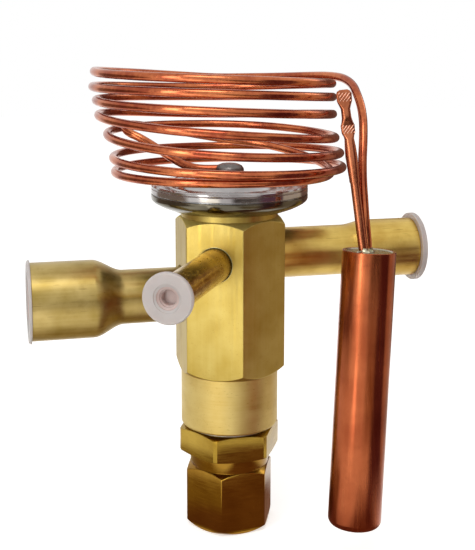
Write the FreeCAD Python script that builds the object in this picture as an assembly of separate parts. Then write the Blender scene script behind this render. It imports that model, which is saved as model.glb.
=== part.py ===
import FreeCAD, Part
import math
import os

# Thermostatic expansion valve with one fixed orifice, solder tube connections, an
# external equaliser and a remote sensing bulb on a coiled capillary.
# Millimetres, +Z up. The valve stands on its seal cap: the origin is the centre of the
# cap's flat end. The inlet tube points along +X and the outlet tube along -X.

V = FreeCAD.Vector

# Clearances
RUN_FIT = 0.05
FREE_GAP = 0.3
GROOVE_GAP = 0.04
SERVICE_GAP = 0.4
BORE_END_GAP = 0.2
PAD_SIDE_GAP = 0.8
TUBE_HOLE_GAP = 0.25

# Cutting tools reach this far past the face they cut
LAP = 1.0

# Share of a tube's wall that its outer end edge is bevelled by
TUBE_EDGE_SHARE = 0.25

# Valve body, turned from hexagon brass bar
BODY_FLATS = 25.4
BODY_CORNER_DEG = 30.0
BODY_HEX_LENGTH = 40.0
SHANK_RADIUS = 12.5
SHANK_LENGTH = 14.3
SHANK_EDGE = 0.6
TOP_CHAMFER_DROP = 1.2
BOTTOM_CHAMFER_DROP = 1.7
SPIGOT_RADIUS = 8.2
SPIGOT_HEIGHT = 1.8
BONNET_BORE_RADIUS = 9.0
SPRING_BORE_RADIUS = 7.3
SPRING_BORE_DEPTH = 31.7
OUTLET_CHAMBER_RADIUS = 6.4
SEAT_BORE_RADIUS = 5.0
INLET_CHAMBER_RADIUS = 4.2
INLET_CHAMBER_HEIGHT = 6.8
GLAND_BORE_RADIUS = 2.6
GLAND_DEPTH = 2.4
PAD_RECESS_RADIUS = 4.5
PAD_RECESS_DEPTH = 2.0
KEYWAY_WIDTH = 2.6
KEYWAY_RADIUS = 8.4
SOCKET_DEPTH = 4.0
EQUALISER_RISER_RADIUS = 1.1
EQUALISER_RISER_OFFSET = 6.3
JOINT_RING_WIDTH = 0.55
JOINT_RING_DEPTH = 0.35

# Connection tubes
INLET_RISE = 29.7
INLET_NECK_RADIUS = 6.5
INLET_NECK_BORE = 5.3
INLET_SOCKET_RADIUS = 7.6
INLET_SOCKET_BORE = 6.4
INLET_FLARE_START = 31.2
INLET_FLARE_END = 36.1
INLET_END = 49.6
INLET_PORT_RADIUS = 3.3

OUTLET_RISE = 20.3
OUTLET_NECK_RADIUS = 6.8
OUTLET_NECK_BORE = 5.2
OUTLET_SOCKET_RADIUS = 9.7
OUTLET_SOCKET_BORE = 8.0
OUTLET_FLARE_START = 28.7
OUTLET_FLARE_END = 34.2
OUTLET_END = 50.1
OUTLET_PORT_RADIUS = 4.2

EQUALISER_DROP = 10.5
EQUALISER_DEG = 240.0
EQUALISER_RADIUS = 4.2
EQUALISER_BORE = 3.2
EQUALISER_END = 45.8
EQUALISER_SOCKET_DEPTH = 3.2
EQUALISER_PORT_RADIUS = 1.5

# Transport plugs in the tube ends
PLUG_WALL = 1.4
PLUG_FLOOR = 1.3
INLET_FLANGE_RADIUS = 8.9
INLET_FLANGE_THICKNESS = 1.5
INLET_INSERT_LENGTH = 8.0
OUTLET_FLANGE_RADIUS = 10.35
OUTLET_FLANGE_THICKNESS = 1.2
OUTLET_INSERT_LENGTH = 9.0
EQUALISER_FLANGE_RADIUS = 5.8
EQUALISER_FLANGE_THICKNESS = 1.2
EQUALISER_INSERT_LENGTH = 6.5
PLUG_MOUTH_BEVEL = 0.8

# Diaphragm head
HEAD_RADIUS = 19.9
HEAD_EDGE = 0.4
HEAD_WAIST_INSET = 0.2
CUP_FOOT_FLARE = 2.4
CUP_FOOT_RISE = 1.3
CUP_RIM_INSET = 1.8
CUP_RIM_DROP = 1.2
CUP_FLOOR_LAND = 0.9
CUP_WALL_DROP = 0.7
CUP_SIDE = 1.45
DIAPHRAGM_THICKNESS = 0.15
DIAPHRAGM_INSET = 0.35
COVER_RIM_THICKNESS = 2.2
HEAD_SEAM_RISE = 5.9
CUP_FLANGE_INNER = 17.0
CUP_FLOOR_RISE = 0.4
COVER_STEP_RADIUS = 16.0
COVER_CROWN_RADIUS = 13.5
COVER_CROWN_RISE = 1.4
COVER_DOME_RISE = 0.9
COVER_WALL = 1.1
COVER_RIM_STEP = 0.3
COVER_DOME_MARGIN = 1.0
BOSS_RADIUS = 3.7
BOSS_HEIGHT = 2.9
BOSS_SHOULDER = 1.5
BOSS_SHOULDER_INSET = 0.6
BOSS_SHOULDER_RISE = 0.9
BOSS_DOME_INSET = 1.6
BOSS_DOME_DROP = 0.25
BOSS_DOME_TOP_RADIUS = 1.2
BOSS_STEM_RADIUS = 2.4
BOSS_PASSAGE_RADIUS = 0.7

# Pressure pad, push rod and rod seal
PAD_RADIUS = 11.6
PAD_THICKNESS = 1.2
PAD_GAP = 0.05
PAD_HUB_RADIUS = 3.2
PAD_HUB_LENGTH = 3.2
ROD_RADIUS = 1.2
SEAL_RETAINER_THICKNESS = 0.8

# Orifice and valve pin
ORIFICE_RADIUS = 2.0
ORIFICE_BEVEL = 0.6
SEAT_INSERT_HEIGHT = 3.7
SEAT_INSERT_RISE = 22.2
PIN_TIP_RADIUS = 1.45
PIN_TIP_RISE = 0.9
PIN_CONE_HEIGHT = 1.8
PIN_RADIUS = 2.8
PIN_SHANK_RADIUS = 1.8
PIN_SHANK_DEPTH = 2.5
PIN_HEAD_HEIGHT = 1.9
CARRIER_RADIUS = 5.9
CARRIER_THICKNESS = 3.0
CARRIER_NOSE_RADIUS = 3.2
CARRIER_NOSE_LENGTH = 3.0

# Superheat spring, spring seat and adjusting stem
SPRING_MEAN_RADIUS = 4.8
SPRING_WIRE_RADIUS = 0.75
SPRING_TURNS = 5
SPRING_SEAT_GAP = 2.4
SPRING_SEAT_THICKNESS = 3.6
STEM_THREAD_RADIUS = 2.5
STEM_THREAD_REACH = 4.0
STEM_FLANGE_RADIUS = 4.7
STEM_FLANGE_THICKNESS = 1.5
STEM_RADIUS = 3.0
STEM_STICK_OUT = 3.2
STEM_SLOT_WIDTH = 1.2
STEM_SLOT_DEPTH = 1.8
STEM_RING_RISE = 1.6
STEM_RING_SECTION = 0.45
STEM_GROOVE_RADIUS = 2.1

# Bonnet nut and its gasket
BONNET_FLATS = 23.2
BONNET_CORNER_DEG = 0.6
BONNET_HEX_HEIGHT = 6.1
BONNET_TOP_CHAMFER = 0.6
BONNET_BOTTOM_CHAMFER = 0.5
BONNET_CORNER_FLAT = 0.45
BONNET_SPIGOT_LENGTH = 8.8
BONNET_COUNTERBORE_DEPTH = 4.4
BONNET_NECK_RADIUS = 7.9
BONNET_NECK_LENGTH = 9.0
BONNET_GASKET_INSET = 0.6
BONNET_GASKET_THICKNESS = 0.6

# Seal cap and its gasket
CAP_FLATS = 20.5
CAP_CORNER_DEG = 6.6
CAP_HEX_TOP = 16.3
CAP_COLLAR_HEIGHT = 3.5
CAP_COLLAR_RADIUS = 10.2
CAP_FLOOR = 2.2
CAP_THREAD_RUNOUT = 1.8
CAP_THREAD_STEP = 1.0
CAP_BASE_CHAMFER = 1.7
CAP_BASE_CHAMFER_HEIGHT = 1.3
CAP_SHOULDER_CHAMFER = 1.0
CAP_CORNER_FLAT = 0.2
CAP_GASKET_THICKNESS = 0.7

# Sensing bulb, drawn from copper tube
BULB_RADIUS = 6.35
BULB_LENGTH = 65.2
BULB_WALL = 0.8
BULB_FLOOR = 1.2
BULB_EDGE_RADIUS = 1.7
BULB_HEAD = (32.9, -21.3, -15.4)
BULB_LEAN = (3.0, 4.5, 65.0)
BULB_END_THICKNESS = 1.5
BULB_END_INSET = 0.5

# Capillary: one copper tube, laid out in axes turned from the connection tubes.
# Each place is (right, away, up) in those turned axes, up from the head's dome.
LAYOUT_TURN_DEG = -13.4
CAPILLARY_RADIUS = 1.05
COIL_STEPS = 16
COIL_LEFT_HEIGHTS = (26.1, 22.3, 19.0, 15.3, 10.6, 4.6, 1.0)
COIL_FRONT_HEIGHTS = (25.1, 21.9, 17.9, 12.8, 7.8, 3.5, 1.4)
COIL_RIGHT_HEIGHTS = (22.9, 19.6, 15.3, 9.5, 5.6, 2.1, 1.2)
COIL_BACK_HEIGHTS = (20.8, 18.1, 13.2, 10.5, 4.4, 0.9, 6.5)
COIL_RADII = (29.5, 30.0, 29.5, 29.5, 28.9, 29.0, 28.6, 24.3)
COIL_CENTRES = (-4.1, -4.1, -3.8, -3.3, -1.8, -0.3, -0.3, -1.6)
BULB_LEAD = (
    (33.6, -21.0, -16.8),
    (33.3, -20.9, -12.8),
    (32.6, -20.6, -8.0),
    (32.2, -19.9, -3.6),
    (32.0, -18.6, 1.0),
    (32.0, -16.8, 5.5),
    (32.4, -14.4, 10.1),
    (32.6, -11.4, 14.2),
    (32.4, -8.2, 17.4),
    (31.7, -4.6, 20.4),
    (30.7, -0.4, 22.7),
    (28.9, 4.6, 24.1),
    (25.9, 10.6, 24.5),
    (21.5, 17.4, 24.3),
    (14.7, 23.9, 23.9),
    (5.8, 28.9, 23.6),
    (-3.9, 30.9, 23.5),
    (-14.0, 29.1, 24.1),
    (-23.7, 22.8, 24.9),
    (-30.8, 12.6, 25.6),
)
HEAD_LEAD = (
    (-13.7, 22.4, 8.9),
    (-21.2, 15.8, 10.8),
    (-25.3, 9.6, 11.9),
    (-26.7, 4.2, 11.7),
    (-25.6, 0.4, 10.7),
    (-22.4, -1.1, 9.3),
    (-18.8, -1.0, 7.1),
    (-15.1, -0.7, 4.6),
    (-11.5, -0.4, 2.5),
    (-7.6, -0.1, 1.5),
    (-1.8, 0.0, 1.4),
)

# Charging tube on the bulb, closed by two crimps
CHARGE_FOOT = (31.4, -23.3, -16.7)
CHARGE_TOP = (26.4, -19.6, 21.9)
CHARGE_TUBE_RADIUS = 1.05
CHARGE_TUBE_LENGTH = 19.0
CHARGE_TUBE_LAP = 3.0
CHARGE_SLEEVE_RADIUS = 1.32
CHARGE_NECK_RADIUS = 1.1
CRIMP_WIDTH = 3.3
CRIMP_THICKNESS = 1.1
LOWER_CRIMP_FROM = 29.5
LOWER_CRIMP_LENGTH = 2.6
UPPER_CRIMP_FROM = 35.6
UPPER_CRIMP_LENGTH = 3.2
CRIMP_TAPER = 1.3
SERRATION_PITCH = 0.62
SERRATION_WIDTH = 0.22
SERRATION_DEPTH = 0.16
SERRATION_DEG = 38.0

# Below these the two tangents of an arc count as parallel
PARALLEL_LIMIT = 1e-9
STRAIGHT_RISE = 1e-4

# Worked out from the sizes above, from the cap's flat end upwards
CAP_TOP = CAP_HEX_TOP + CAP_COLLAR_HEIGHT
BONNET_HEX_BOTTOM = CAP_TOP + CAP_GASKET_THICKNESS
BONNET_HEX_TOP = BONNET_HEX_BOTTOM + BONNET_HEX_HEIGHT
BONNET_NECK_BOTTOM = BONNET_HEX_BOTTOM - BONNET_NECK_LENGTH
BONNET_SPIGOT_TOP = BONNET_HEX_TOP + BONNET_SPIGOT_LENGTH
BONNET_COUNTERBORE_FLOOR = BONNET_SPIGOT_TOP - BONNET_COUNTERBORE_DEPTH
BONNET_COUNTERBORE_RADIUS = STEM_FLANGE_RADIUS + SERVICE_GAP
BONNET_GASKET_RADIUS = BONNET_FLATS / 2.0 - BONNET_GASKET_INSET
CAP_THREAD_START = BONNET_NECK_BOTTOM - CAP_THREAD_RUNOUT
CAP_GASKET_OUTER = CAP_COLLAR_RADIUS - SERVICE_GAP
SHANK_BOTTOM = BONNET_HEX_TOP + BONNET_GASKET_THICKNESS
BODY_SHOULDER = SHANK_BOTTOM + SHANK_LENGTH
BODY_TOP = BODY_SHOULDER + BODY_HEX_LENGTH
BODY_FACE = BODY_FLATS / 2.0
BONNET_BORE_TOP = BONNET_SPIGOT_TOP + BORE_END_GAP
SPRING_BORE_TOP = SHANK_BOTTOM + SPRING_BORE_DEPTH
SPIGOT_TOP = BODY_TOP + SPIGOT_HEIGHT
PAD_RECESS_FLOOR = BODY_TOP - PAD_RECESS_DEPTH
INLET_HEIGHT = BODY_SHOULDER + INLET_RISE
OUTLET_HEIGHT = BODY_SHOULDER + OUTLET_RISE
EQUALISER_HEIGHT = BODY_TOP - EQUALISER_DROP
SEAT_INSERT_BOTTOM = BODY_SHOULDER + SEAT_INSERT_RISE
SEAT_INSERT_TOP = SEAT_INSERT_BOTTOM + SEAT_INSERT_HEIGHT
INLET_CHAMBER_TOP = SEAT_INSERT_TOP + INLET_CHAMBER_HEIGHT
HEAD_SEAM = BODY_TOP + HEAD_SEAM_RISE
CUP_FLOOR = SPIGOT_TOP + CUP_FLOOR_RISE
CHAMBER_RADIUS = PAD_RADIUS + PAD_SIDE_GAP
COVER_TOP = HEAD_SEAM + DIAPHRAGM_THICKNESS + COVER_RIM_THICKNESS
CROWN_TOP = COVER_TOP + COVER_CROWN_RISE
DOME_TOP = CROWN_TOP + COVER_DOME_RISE
PAD_TOP = HEAD_SEAM - PAD_GAP
PAD_BOTTOM = PAD_TOP - PAD_THICKNESS
HUB_BOTTOM = PAD_BOTTOM - PAD_HUB_LENGTH
SEAL_RETAINER_RADIUS = PAD_RECESS_RADIUS - RUN_FIT
PIN_TIP_TOP = SEAT_INSERT_BOTTOM + PIN_TIP_RISE
PIN_CONE_BOTTOM = PIN_TIP_TOP - PIN_CONE_HEIGHT
PIN_HEAD_BOTTOM = PIN_CONE_BOTTOM - PIN_HEAD_HEIGHT
CARRIER_BOTTOM = PIN_HEAD_BOTTOM - CARRIER_THICKNESS
SPRING_SEAT_BOTTOM = BONNET_SPIGOT_TOP + SPRING_SEAT_GAP
SPRING_SEAT_TOP = SPRING_SEAT_BOTTOM + SPRING_SEAT_THICKNESS
SPRING_SEAT_RADIUS = SPRING_BORE_RADIUS - FREE_GAP
SEAT_KEY_WIDTH = KEYWAY_WIDTH - 2 * FREE_GAP
SEAT_KEY_RADIUS = KEYWAY_RADIUS - FREE_GAP
STEM_END = BONNET_NECK_BOTTOM - STEM_STICK_OUT
STEM_RING_HEIGHT = BONNET_HEX_BOTTOM + STEM_RING_RISE
STEM_FLANGE_TOP = BONNET_COUNTERBORE_FLOOR + STEM_FLANGE_THICKNESS
STEM_THREAD_TOP = SPRING_SEAT_TOP + STEM_THREAD_REACH
BULB_HOLE_RADIUS = CAPILLARY_RADIUS + TUBE_HOLE_GAP


def turned(outline):
    """Solid of revolution about Z from a closed (radius, height) outline."""
    points = [V(radius, 0, height) for radius, height in outline]
    face = Part.Face(Part.makePolygon(points + points[:1]))
    return face.revolve(V(0, 0, 0), V(0, 0, 1), 360)


def cylinder(radius, bottom, top):
    return Part.makeCylinder(radius, top - bottom, V(0, 0, bottom))


def ring(outer, inner, bottom, top):
    return cylinder(outer, bottom, top).cut(cylinder(inner, bottom - LAP, top + LAP))


def lay(shape, height, degrees):
    """Swing a shape that was made along +Z so that it points outwards from the axis."""
    shape.rotate(V(0, 0, 0), V(0, 1, 0), 90)
    shape.rotate(V(0, 0, 0), V(0, 0, 1), degrees)
    shape.translate(V(0, 0, height))
    return shape


def hexagon(flats, bottom, top, corner_deg):
    corner_radius = flats / math.sqrt(3)
    points = []
    for index in range(6):
        angle = math.radians(corner_deg + 60 * index)
        points.append(V(corner_radius * math.cos(angle), corner_radius * math.sin(angle), bottom))
    face = Part.Face(Part.makePolygon(points + points[:1]))
    return face.extrude(V(0, 0, top - bottom))


def crown(start, end):
    """Arc centred on the axis through two (radius, height) places."""
    (near, low), (far, high) = start, end
    centre = (far ** 2 - near ** 2 + high ** 2 - low ** 2) / (2.0 * (high - low))
    middle = V(near + far, 0, low + high - 2 * centre).normalize() * math.hypot(near, low - centre)
    return Part.Arc(V(near, 0, low), middle.add(V(0, 0, centre)), V(far, 0, high)).toShape()


def crowned_envelope(bottom, top, corner, low_radius, low_drop, high_radius, high_drop):
    """Turned shape with rounded crowns that bevels the corners of a hexagon at both ends."""
    low_start, low_end = (low_radius, bottom), (corner, bottom + low_drop)
    high_start, high_end = (corner, top - high_drop), (high_radius, top)
    edges = [
        Part.makeLine(V(0, 0, bottom), V(low_radius, 0, bottom)),
        crown(low_start, low_end),
        Part.makeLine(V(corner, 0, bottom + low_drop), V(corner, 0, top - high_drop)),
        crown(high_start, high_end),
        Part.makeLine(V(high_radius, 0, top), V(0, 0, top)),
        Part.makeLine(V(0, 0, top), V(0, 0, bottom))]
    return Part.Face(Part.Wire(edges)).revolve(V(0, 0, 0), V(0, 0, 1), 360)


def place(point):
    """Turn a (right, away, up) place of the capillary layout into the valve's frame."""
    turn = math.radians(LAYOUT_TURN_DEG)
    right, away, up = point
    x = right * math.cos(turn) - away * math.sin(turn)
    y = right * math.sin(turn) + away * math.cos(turn)
    return V(x, y, DOME_TOP + up)


def stand_on_line(shape, foot, head):
    """Move a shape that was made along +Z from the origin onto the line foot to head."""
    direction = head.sub(foot)
    turn = FreeCAD.Rotation(V(0, 0, 1), direction)
    moved = shape.copy()
    moved.Placement = FreeCAD.Placement(foot, turn)
    return moved


def valve_body():
    hex_part = hexagon(BODY_FLATS, BODY_SHOULDER, BODY_TOP, BODY_CORNER_DEG).common(crowned_envelope(
        BODY_SHOULDER, BODY_TOP, BODY_FLATS / math.sqrt(3), BODY_FACE, BOTTOM_CHAMFER_DROP,
        BODY_FACE, TOP_CHAMFER_DROP))
    shank = turned([
        (0, SHANK_BOTTOM), (SHANK_RADIUS - SHANK_EDGE, SHANK_BOTTOM),
        (SHANK_RADIUS, SHANK_BOTTOM + SHANK_EDGE), (SHANK_RADIUS, BODY_SHOULDER + LAP),
        (0, BODY_SHOULDER + LAP)])
    body = hex_part.fuse([shank, cylinder(SPIGOT_RADIUS, BODY_TOP - LAP, SPIGOT_TOP)])
    cuts = [
        cylinder(BONNET_BORE_RADIUS, SHANK_BOTTOM - LAP, BONNET_BORE_TOP),
        cylinder(SPRING_BORE_RADIUS, SHANK_BOTTOM, SPRING_BORE_TOP),
        cylinder(OUTLET_CHAMBER_RADIUS, SPRING_BORE_TOP - LAP, SEAT_INSERT_BOTTOM),
        cylinder(SEAT_BORE_RADIUS, SEAT_INSERT_BOTTOM - LAP, SEAT_INSERT_TOP),
        cylinder(INLET_CHAMBER_RADIUS, SEAT_INSERT_TOP - LAP, INLET_CHAMBER_TOP),
        cylinder(ROD_RADIUS + RUN_FIT, INLET_CHAMBER_TOP - LAP, PAD_RECESS_FLOOR),
        cylinder(GLAND_BORE_RADIUS, PAD_RECESS_FLOOR - GLAND_DEPTH, PAD_RECESS_FLOOR),
        cylinder(PAD_RECESS_RADIUS, PAD_RECESS_FLOOR, SPIGOT_TOP + LAP)]
    cuts.append(Part.makeBox(
        KEYWAY_RADIUS, KEYWAY_WIDTH, SPRING_BORE_TOP - SHANK_BOTTOM,
        V(0, -KEYWAY_WIDTH / 2.0, SHANK_BOTTOM)).common(
            cylinder(KEYWAY_RADIUS, SHANK_BOTTOM, SPRING_BORE_TOP)))
    cuts += tube_seats()
    return body.cut(cuts).removeSplitter()


def tube_seats():
    """Stepped holes that the three connection tubes are brazed into."""
    socket_inner = BODY_FACE - SOCKET_DEPTH
    equaliser_inner = BODY_FACE - EQUALISER_SOCKET_DEPTH
    holes = [
        lay(cylinder(INLET_NECK_RADIUS, socket_inner, BODY_FACE + LAP), INLET_HEIGHT, 0),
        lay(cylinder(INLET_PORT_RADIUS, 0, socket_inner + LAP), INLET_HEIGHT, 0),
        lay(cylinder(OUTLET_NECK_RADIUS, socket_inner, BODY_FACE + LAP), OUTLET_HEIGHT, 180),
        lay(cylinder(OUTLET_PORT_RADIUS, OUTLET_CHAMBER_RADIUS - LAP, socket_inner + LAP), OUTLET_HEIGHT, 180),
        lay(cylinder(EQUALISER_RADIUS, equaliser_inner, BODY_FACE + LAP), EQUALISER_HEIGHT, EQUALISER_DEG),
        lay(cylinder(EQUALISER_PORT_RADIUS, EQUALISER_RISER_OFFSET, equaliser_inner + LAP),
            EQUALISER_HEIGHT, EQUALISER_DEG)]
    riser = Part.makeCylinder(
        EQUALISER_RISER_RADIUS, SPIGOT_TOP + LAP - EQUALISER_HEIGHT,
        V(EQUALISER_RISER_OFFSET, 0, EQUALISER_HEIGHT))
    riser.rotate(V(0, 0, 0), V(0, 0, 1), EQUALISER_DEG)
    holes.append(riser)
    for radius, height, degrees in (
            (INLET_NECK_RADIUS, INLET_HEIGHT, 0), (OUTLET_NECK_RADIUS, OUTLET_HEIGHT, 180),
            (EQUALISER_RADIUS, EQUALISER_HEIGHT, EQUALISER_DEG)):
        groove = cylinder(radius + JOINT_RING_WIDTH, BODY_FACE - JOINT_RING_DEPTH, BODY_FACE + LAP)
        holes.append(lay(groove, height, degrees))
    return holes


def socket_tube(neck, neck_bore, socket, socket_bore, flare_start, flare_end, end, height, degrees):
    """Connection tube whose outer end is widened to take a line of standard size."""
    start = BODY_FACE - SOCKET_DEPTH
    edge = (socket - socket_bore) * TUBE_EDGE_SHARE
    tube = turned([
        (neck_bore, start), (neck, start), (neck, flare_start), (socket, flare_end),
        (socket, end - edge), (socket - edge, end), (socket_bore, end),
        (socket_bore, flare_end), (neck_bore, flare_start)])
    return lay(tube, height, degrees)


def inlet_tube():
    return socket_tube(
        INLET_NECK_RADIUS, INLET_NECK_BORE, INLET_SOCKET_RADIUS, INLET_SOCKET_BORE,
        INLET_FLARE_START, INLET_FLARE_END, INLET_END, INLET_HEIGHT, 0)


def outlet_tube():
    return socket_tube(
        OUTLET_NECK_RADIUS, OUTLET_NECK_BORE, OUTLET_SOCKET_RADIUS, OUTLET_SOCKET_BORE,
        OUTLET_FLARE_START, OUTLET_FLARE_END, OUTLET_END, OUTLET_HEIGHT, 180)


def equalizer_tube():
    start = BODY_FACE - EQUALISER_SOCKET_DEPTH
    edge = (EQUALISER_RADIUS - EQUALISER_BORE) * TUBE_EDGE_SHARE
    tube = turned([
        (EQUALISER_BORE, start), (EQUALISER_RADIUS, start), (EQUALISER_RADIUS, EQUALISER_END - edge),
        (EQUALISER_RADIUS - edge, EQUALISER_END), (EQUALISER_BORE, EQUALISER_END)])
    return lay(tube, EQUALISER_HEIGHT, EQUALISER_DEG)


def transport_plug(bore, flange, thickness, length, end, height, degrees):
    """Hollow moulded plug: a flange on the tube's end and a cup inside its bore."""
    insert = bore - RUN_FIT
    hollow = insert - PLUG_WALL
    plug = turned([
        (0, end - length), (insert, end - length), (insert, end), (flange, end),
        (flange, end + thickness), (hollow + PLUG_MOUTH_BEVEL, end + thickness),
        (hollow, end + thickness - PLUG_MOUTH_BEVEL), (hollow, end - length + PLUG_FLOOR),
        (0, end - length + PLUG_FLOOR)])
    return lay(plug, height, degrees)


def inlet_plug():
    return transport_plug(
        INLET_SOCKET_BORE, INLET_FLANGE_RADIUS, INLET_FLANGE_THICKNESS, INLET_INSERT_LENGTH,
        INLET_END, INLET_HEIGHT, 0)


def outlet_plug():
    return transport_plug(
        OUTLET_SOCKET_BORE, OUTLET_FLANGE_RADIUS, OUTLET_FLANGE_THICKNESS, OUTLET_INSERT_LENGTH,
        OUTLET_END, OUTLET_HEIGHT, 180)


def equalizer_plug():
    return transport_plug(
        EQUALISER_BORE, EQUALISER_FLANGE_RADIUS, EQUALISER_FLANGE_THICKNESS, EQUALISER_INSERT_LENGTH,
        EQUALISER_END, EQUALISER_HEIGHT, EQUALISER_DEG)


def head_cup():
    """Pressed lower half of the diaphragm head, brazed round the body's spigot."""
    flange_bottom = HEAD_SEAM - CUP_SIDE
    waist = SHANK_RADIUS - HEAD_WAIST_INSET
    return turned([
        (SPIGOT_RADIUS, BODY_TOP), (waist, BODY_TOP), (waist + CUP_FOOT_FLARE, BODY_TOP + CUP_FOOT_RISE),
        (HEAD_RADIUS - CUP_RIM_INSET, flange_bottom - CUP_RIM_DROP),
        (HEAD_RADIUS - HEAD_EDGE, flange_bottom - HEAD_EDGE),
        (HEAD_RADIUS, flange_bottom), (HEAD_RADIUS, HEAD_SEAM), (CUP_FLANGE_INNER, HEAD_SEAM),
        (CHAMBER_RADIUS, PAD_BOTTOM - SERVICE_GAP - CUP_WALL_DROP), (SPIGOT_RADIUS + CUP_FLOOR_LAND, CUP_FLOOR),
        (SPIGOT_RADIUS, CUP_FLOOR)])


def head_cover():
    """Pressed upper half of the diaphragm head with its flat rim and low crown."""
    rim_bottom = HEAD_SEAM + DIAPHRAGM_THICKNESS
    return turned([
        (HEAD_RADIUS, rim_bottom), (HEAD_RADIUS, COVER_TOP - HEAD_EDGE), (HEAD_RADIUS - HEAD_EDGE, COVER_TOP),
        (COVER_STEP_RADIUS, COVER_TOP), (COVER_CROWN_RADIUS, CROWN_TOP),
        (BOSS_RADIUS + COVER_DOME_MARGIN, DOME_TOP),
        (BOSS_STEM_RADIUS, DOME_TOP), (BOSS_STEM_RADIUS, DOME_TOP - COVER_WALL),
        (COVER_CROWN_RADIUS - COVER_WALL, CROWN_TOP - COVER_WALL),
        (COVER_STEP_RADIUS - COVER_WALL, rim_bottom + COVER_RIM_STEP), (CUP_FLANGE_INNER, rim_bottom)])


def diaphragm():
    return cylinder(HEAD_RADIUS - DIAPHRAGM_INSET, HEAD_SEAM, HEAD_SEAM + DIAPHRAGM_THICKNESS)


def head_boss():
    """Domed plug in the cover's centre that the capillary enters from the side."""
    top = DOME_TOP + BOSS_HEIGHT
    boss = turned([
        (0, DOME_TOP - COVER_WALL), (BOSS_STEM_RADIUS, DOME_TOP - COVER_WALL), (BOSS_STEM_RADIUS, DOME_TOP),
        (BOSS_RADIUS, DOME_TOP), (BOSS_RADIUS, DOME_TOP + BOSS_SHOULDER),
        (BOSS_RADIUS - BOSS_SHOULDER_INSET, DOME_TOP + BOSS_SHOULDER + BOSS_SHOULDER_RISE),
        (BOSS_RADIUS - BOSS_DOME_INSET, top - BOSS_DOME_DROP),
        (BOSS_DOME_TOP_RADIUS, top), (0, top)])
    end = place(HEAD_LEAD[-1])
    before = place(HEAD_LEAD[-2])
    passage = Part.makeCylinder(
        CAPILLARY_RADIUS + RUN_FIT, before.sub(end).Length, end, before.sub(end))
    throat = cylinder(BOSS_PASSAGE_RADIUS, DOME_TOP - COVER_WALL - LAP, end.z)
    middle = V(0, 0, end.z)
    link = Part.makeCylinder(BOSS_PASSAGE_RADIUS, end.sub(middle).Length, middle, end.sub(middle))
    return boss.cut([passage, throat, link])


def pressure_pad():
    return turned([
        (0, HUB_BOTTOM), (PAD_HUB_RADIUS, HUB_BOTTOM), (PAD_HUB_RADIUS, PAD_BOTTOM),
        (PAD_RADIUS, PAD_BOTTOM), (PAD_RADIUS, PAD_TOP), (0, PAD_TOP)])


def push_rod():
    return cylinder(ROD_RADIUS, PIN_TIP_TOP, HUB_BOTTOM)


def rod_seal():
    return ring(
        GLAND_BORE_RADIUS - GROOVE_GAP, ROD_RADIUS + GROOVE_GAP,
        PAD_RECESS_FLOOR - GLAND_DEPTH, PAD_RECESS_FLOOR)


def seal_retainer():
    return ring(
        SEAL_RETAINER_RADIUS, ROD_RADIUS + FREE_GAP, PAD_RECESS_FLOOR,
        PAD_RECESS_FLOOR + SEAL_RETAINER_THICKNESS)


def orifice_seat():
    return turned([
        (ORIFICE_RADIUS + ORIFICE_BEVEL, SEAT_INSERT_BOTTOM), (SEAT_BORE_RADIUS, SEAT_INSERT_BOTTOM),
        (SEAT_BORE_RADIUS, SEAT_INSERT_TOP), (ORIFICE_RADIUS, SEAT_INSERT_TOP),
        (ORIFICE_RADIUS, SEAT_INSERT_BOTTOM + ORIFICE_BEVEL)])


def valve_pin():
    return turned([
        (0, PIN_HEAD_BOTTOM - PIN_SHANK_DEPTH), (PIN_SHANK_RADIUS, PIN_HEAD_BOTTOM - PIN_SHANK_DEPTH),
        (PIN_SHANK_RADIUS, PIN_HEAD_BOTTOM), (PIN_RADIUS, PIN_HEAD_BOTTOM), (PIN_RADIUS, PIN_CONE_BOTTOM),
        (PIN_TIP_RADIUS, PIN_TIP_TOP), (0, PIN_TIP_TOP)])


def pin_carrier():
    """Upper spring cup that holds the pin in a blind hole."""
    nose_bottom = CARRIER_BOTTOM - CARRIER_NOSE_LENGTH
    return turned([
        (0, nose_bottom), (CARRIER_NOSE_RADIUS, nose_bottom), (CARRIER_NOSE_RADIUS, CARRIER_BOTTOM),
        (CARRIER_RADIUS, CARRIER_BOTTOM), (CARRIER_RADIUS, PIN_HEAD_BOTTOM),
        (PIN_SHANK_RADIUS, PIN_HEAD_BOTTOM), (PIN_SHANK_RADIUS, PIN_HEAD_BOTTOM - PIN_SHANK_DEPTH),
        (0, PIN_HEAD_BOTTOM - PIN_SHANK_DEPTH)])


def superheat_spring():
    """Compression spring between the spring seat and the pin carrier."""
    low = SPRING_SEAT_TOP + SPRING_WIRE_RADIUS
    high = CARRIER_BOTTOM - SPRING_WIRE_RADIUS
    pitch = (high - low) / SPRING_TURNS
    helix = Part.makeLongHelix(pitch, high - low, SPRING_MEAN_RADIUS)
    start = V(SPRING_MEAN_RADIUS, 0, 0)
    slope = pitch / (2 * math.pi * SPRING_MEAN_RADIUS)
    section = Part.Wire(Part.makeCircle(SPRING_WIRE_RADIUS, start, V(0, 1, slope)))
    spring = Part.Wire(helix).makePipeShell([section], True, True)
    spring.translate(V(0, 0, low))
    return spring


def spring_seat():
    """Nut that the stem raises and lowers; its key stops it from turning."""
    seat = cylinder(SPRING_SEAT_RADIUS, SPRING_SEAT_BOTTOM, SPRING_SEAT_TOP)
    key = Part.makeBox(
        SEAT_KEY_RADIUS, SEAT_KEY_WIDTH, SPRING_SEAT_THICKNESS,
        V(0, -SEAT_KEY_WIDTH / 2.0, SPRING_SEAT_BOTTOM))
    bore = cylinder(STEM_THREAD_RADIUS + RUN_FIT, SPRING_SEAT_BOTTOM - LAP, SPRING_SEAT_TOP + LAP)
    return seat.fuse(key).cut(bore).removeSplitter()


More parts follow.
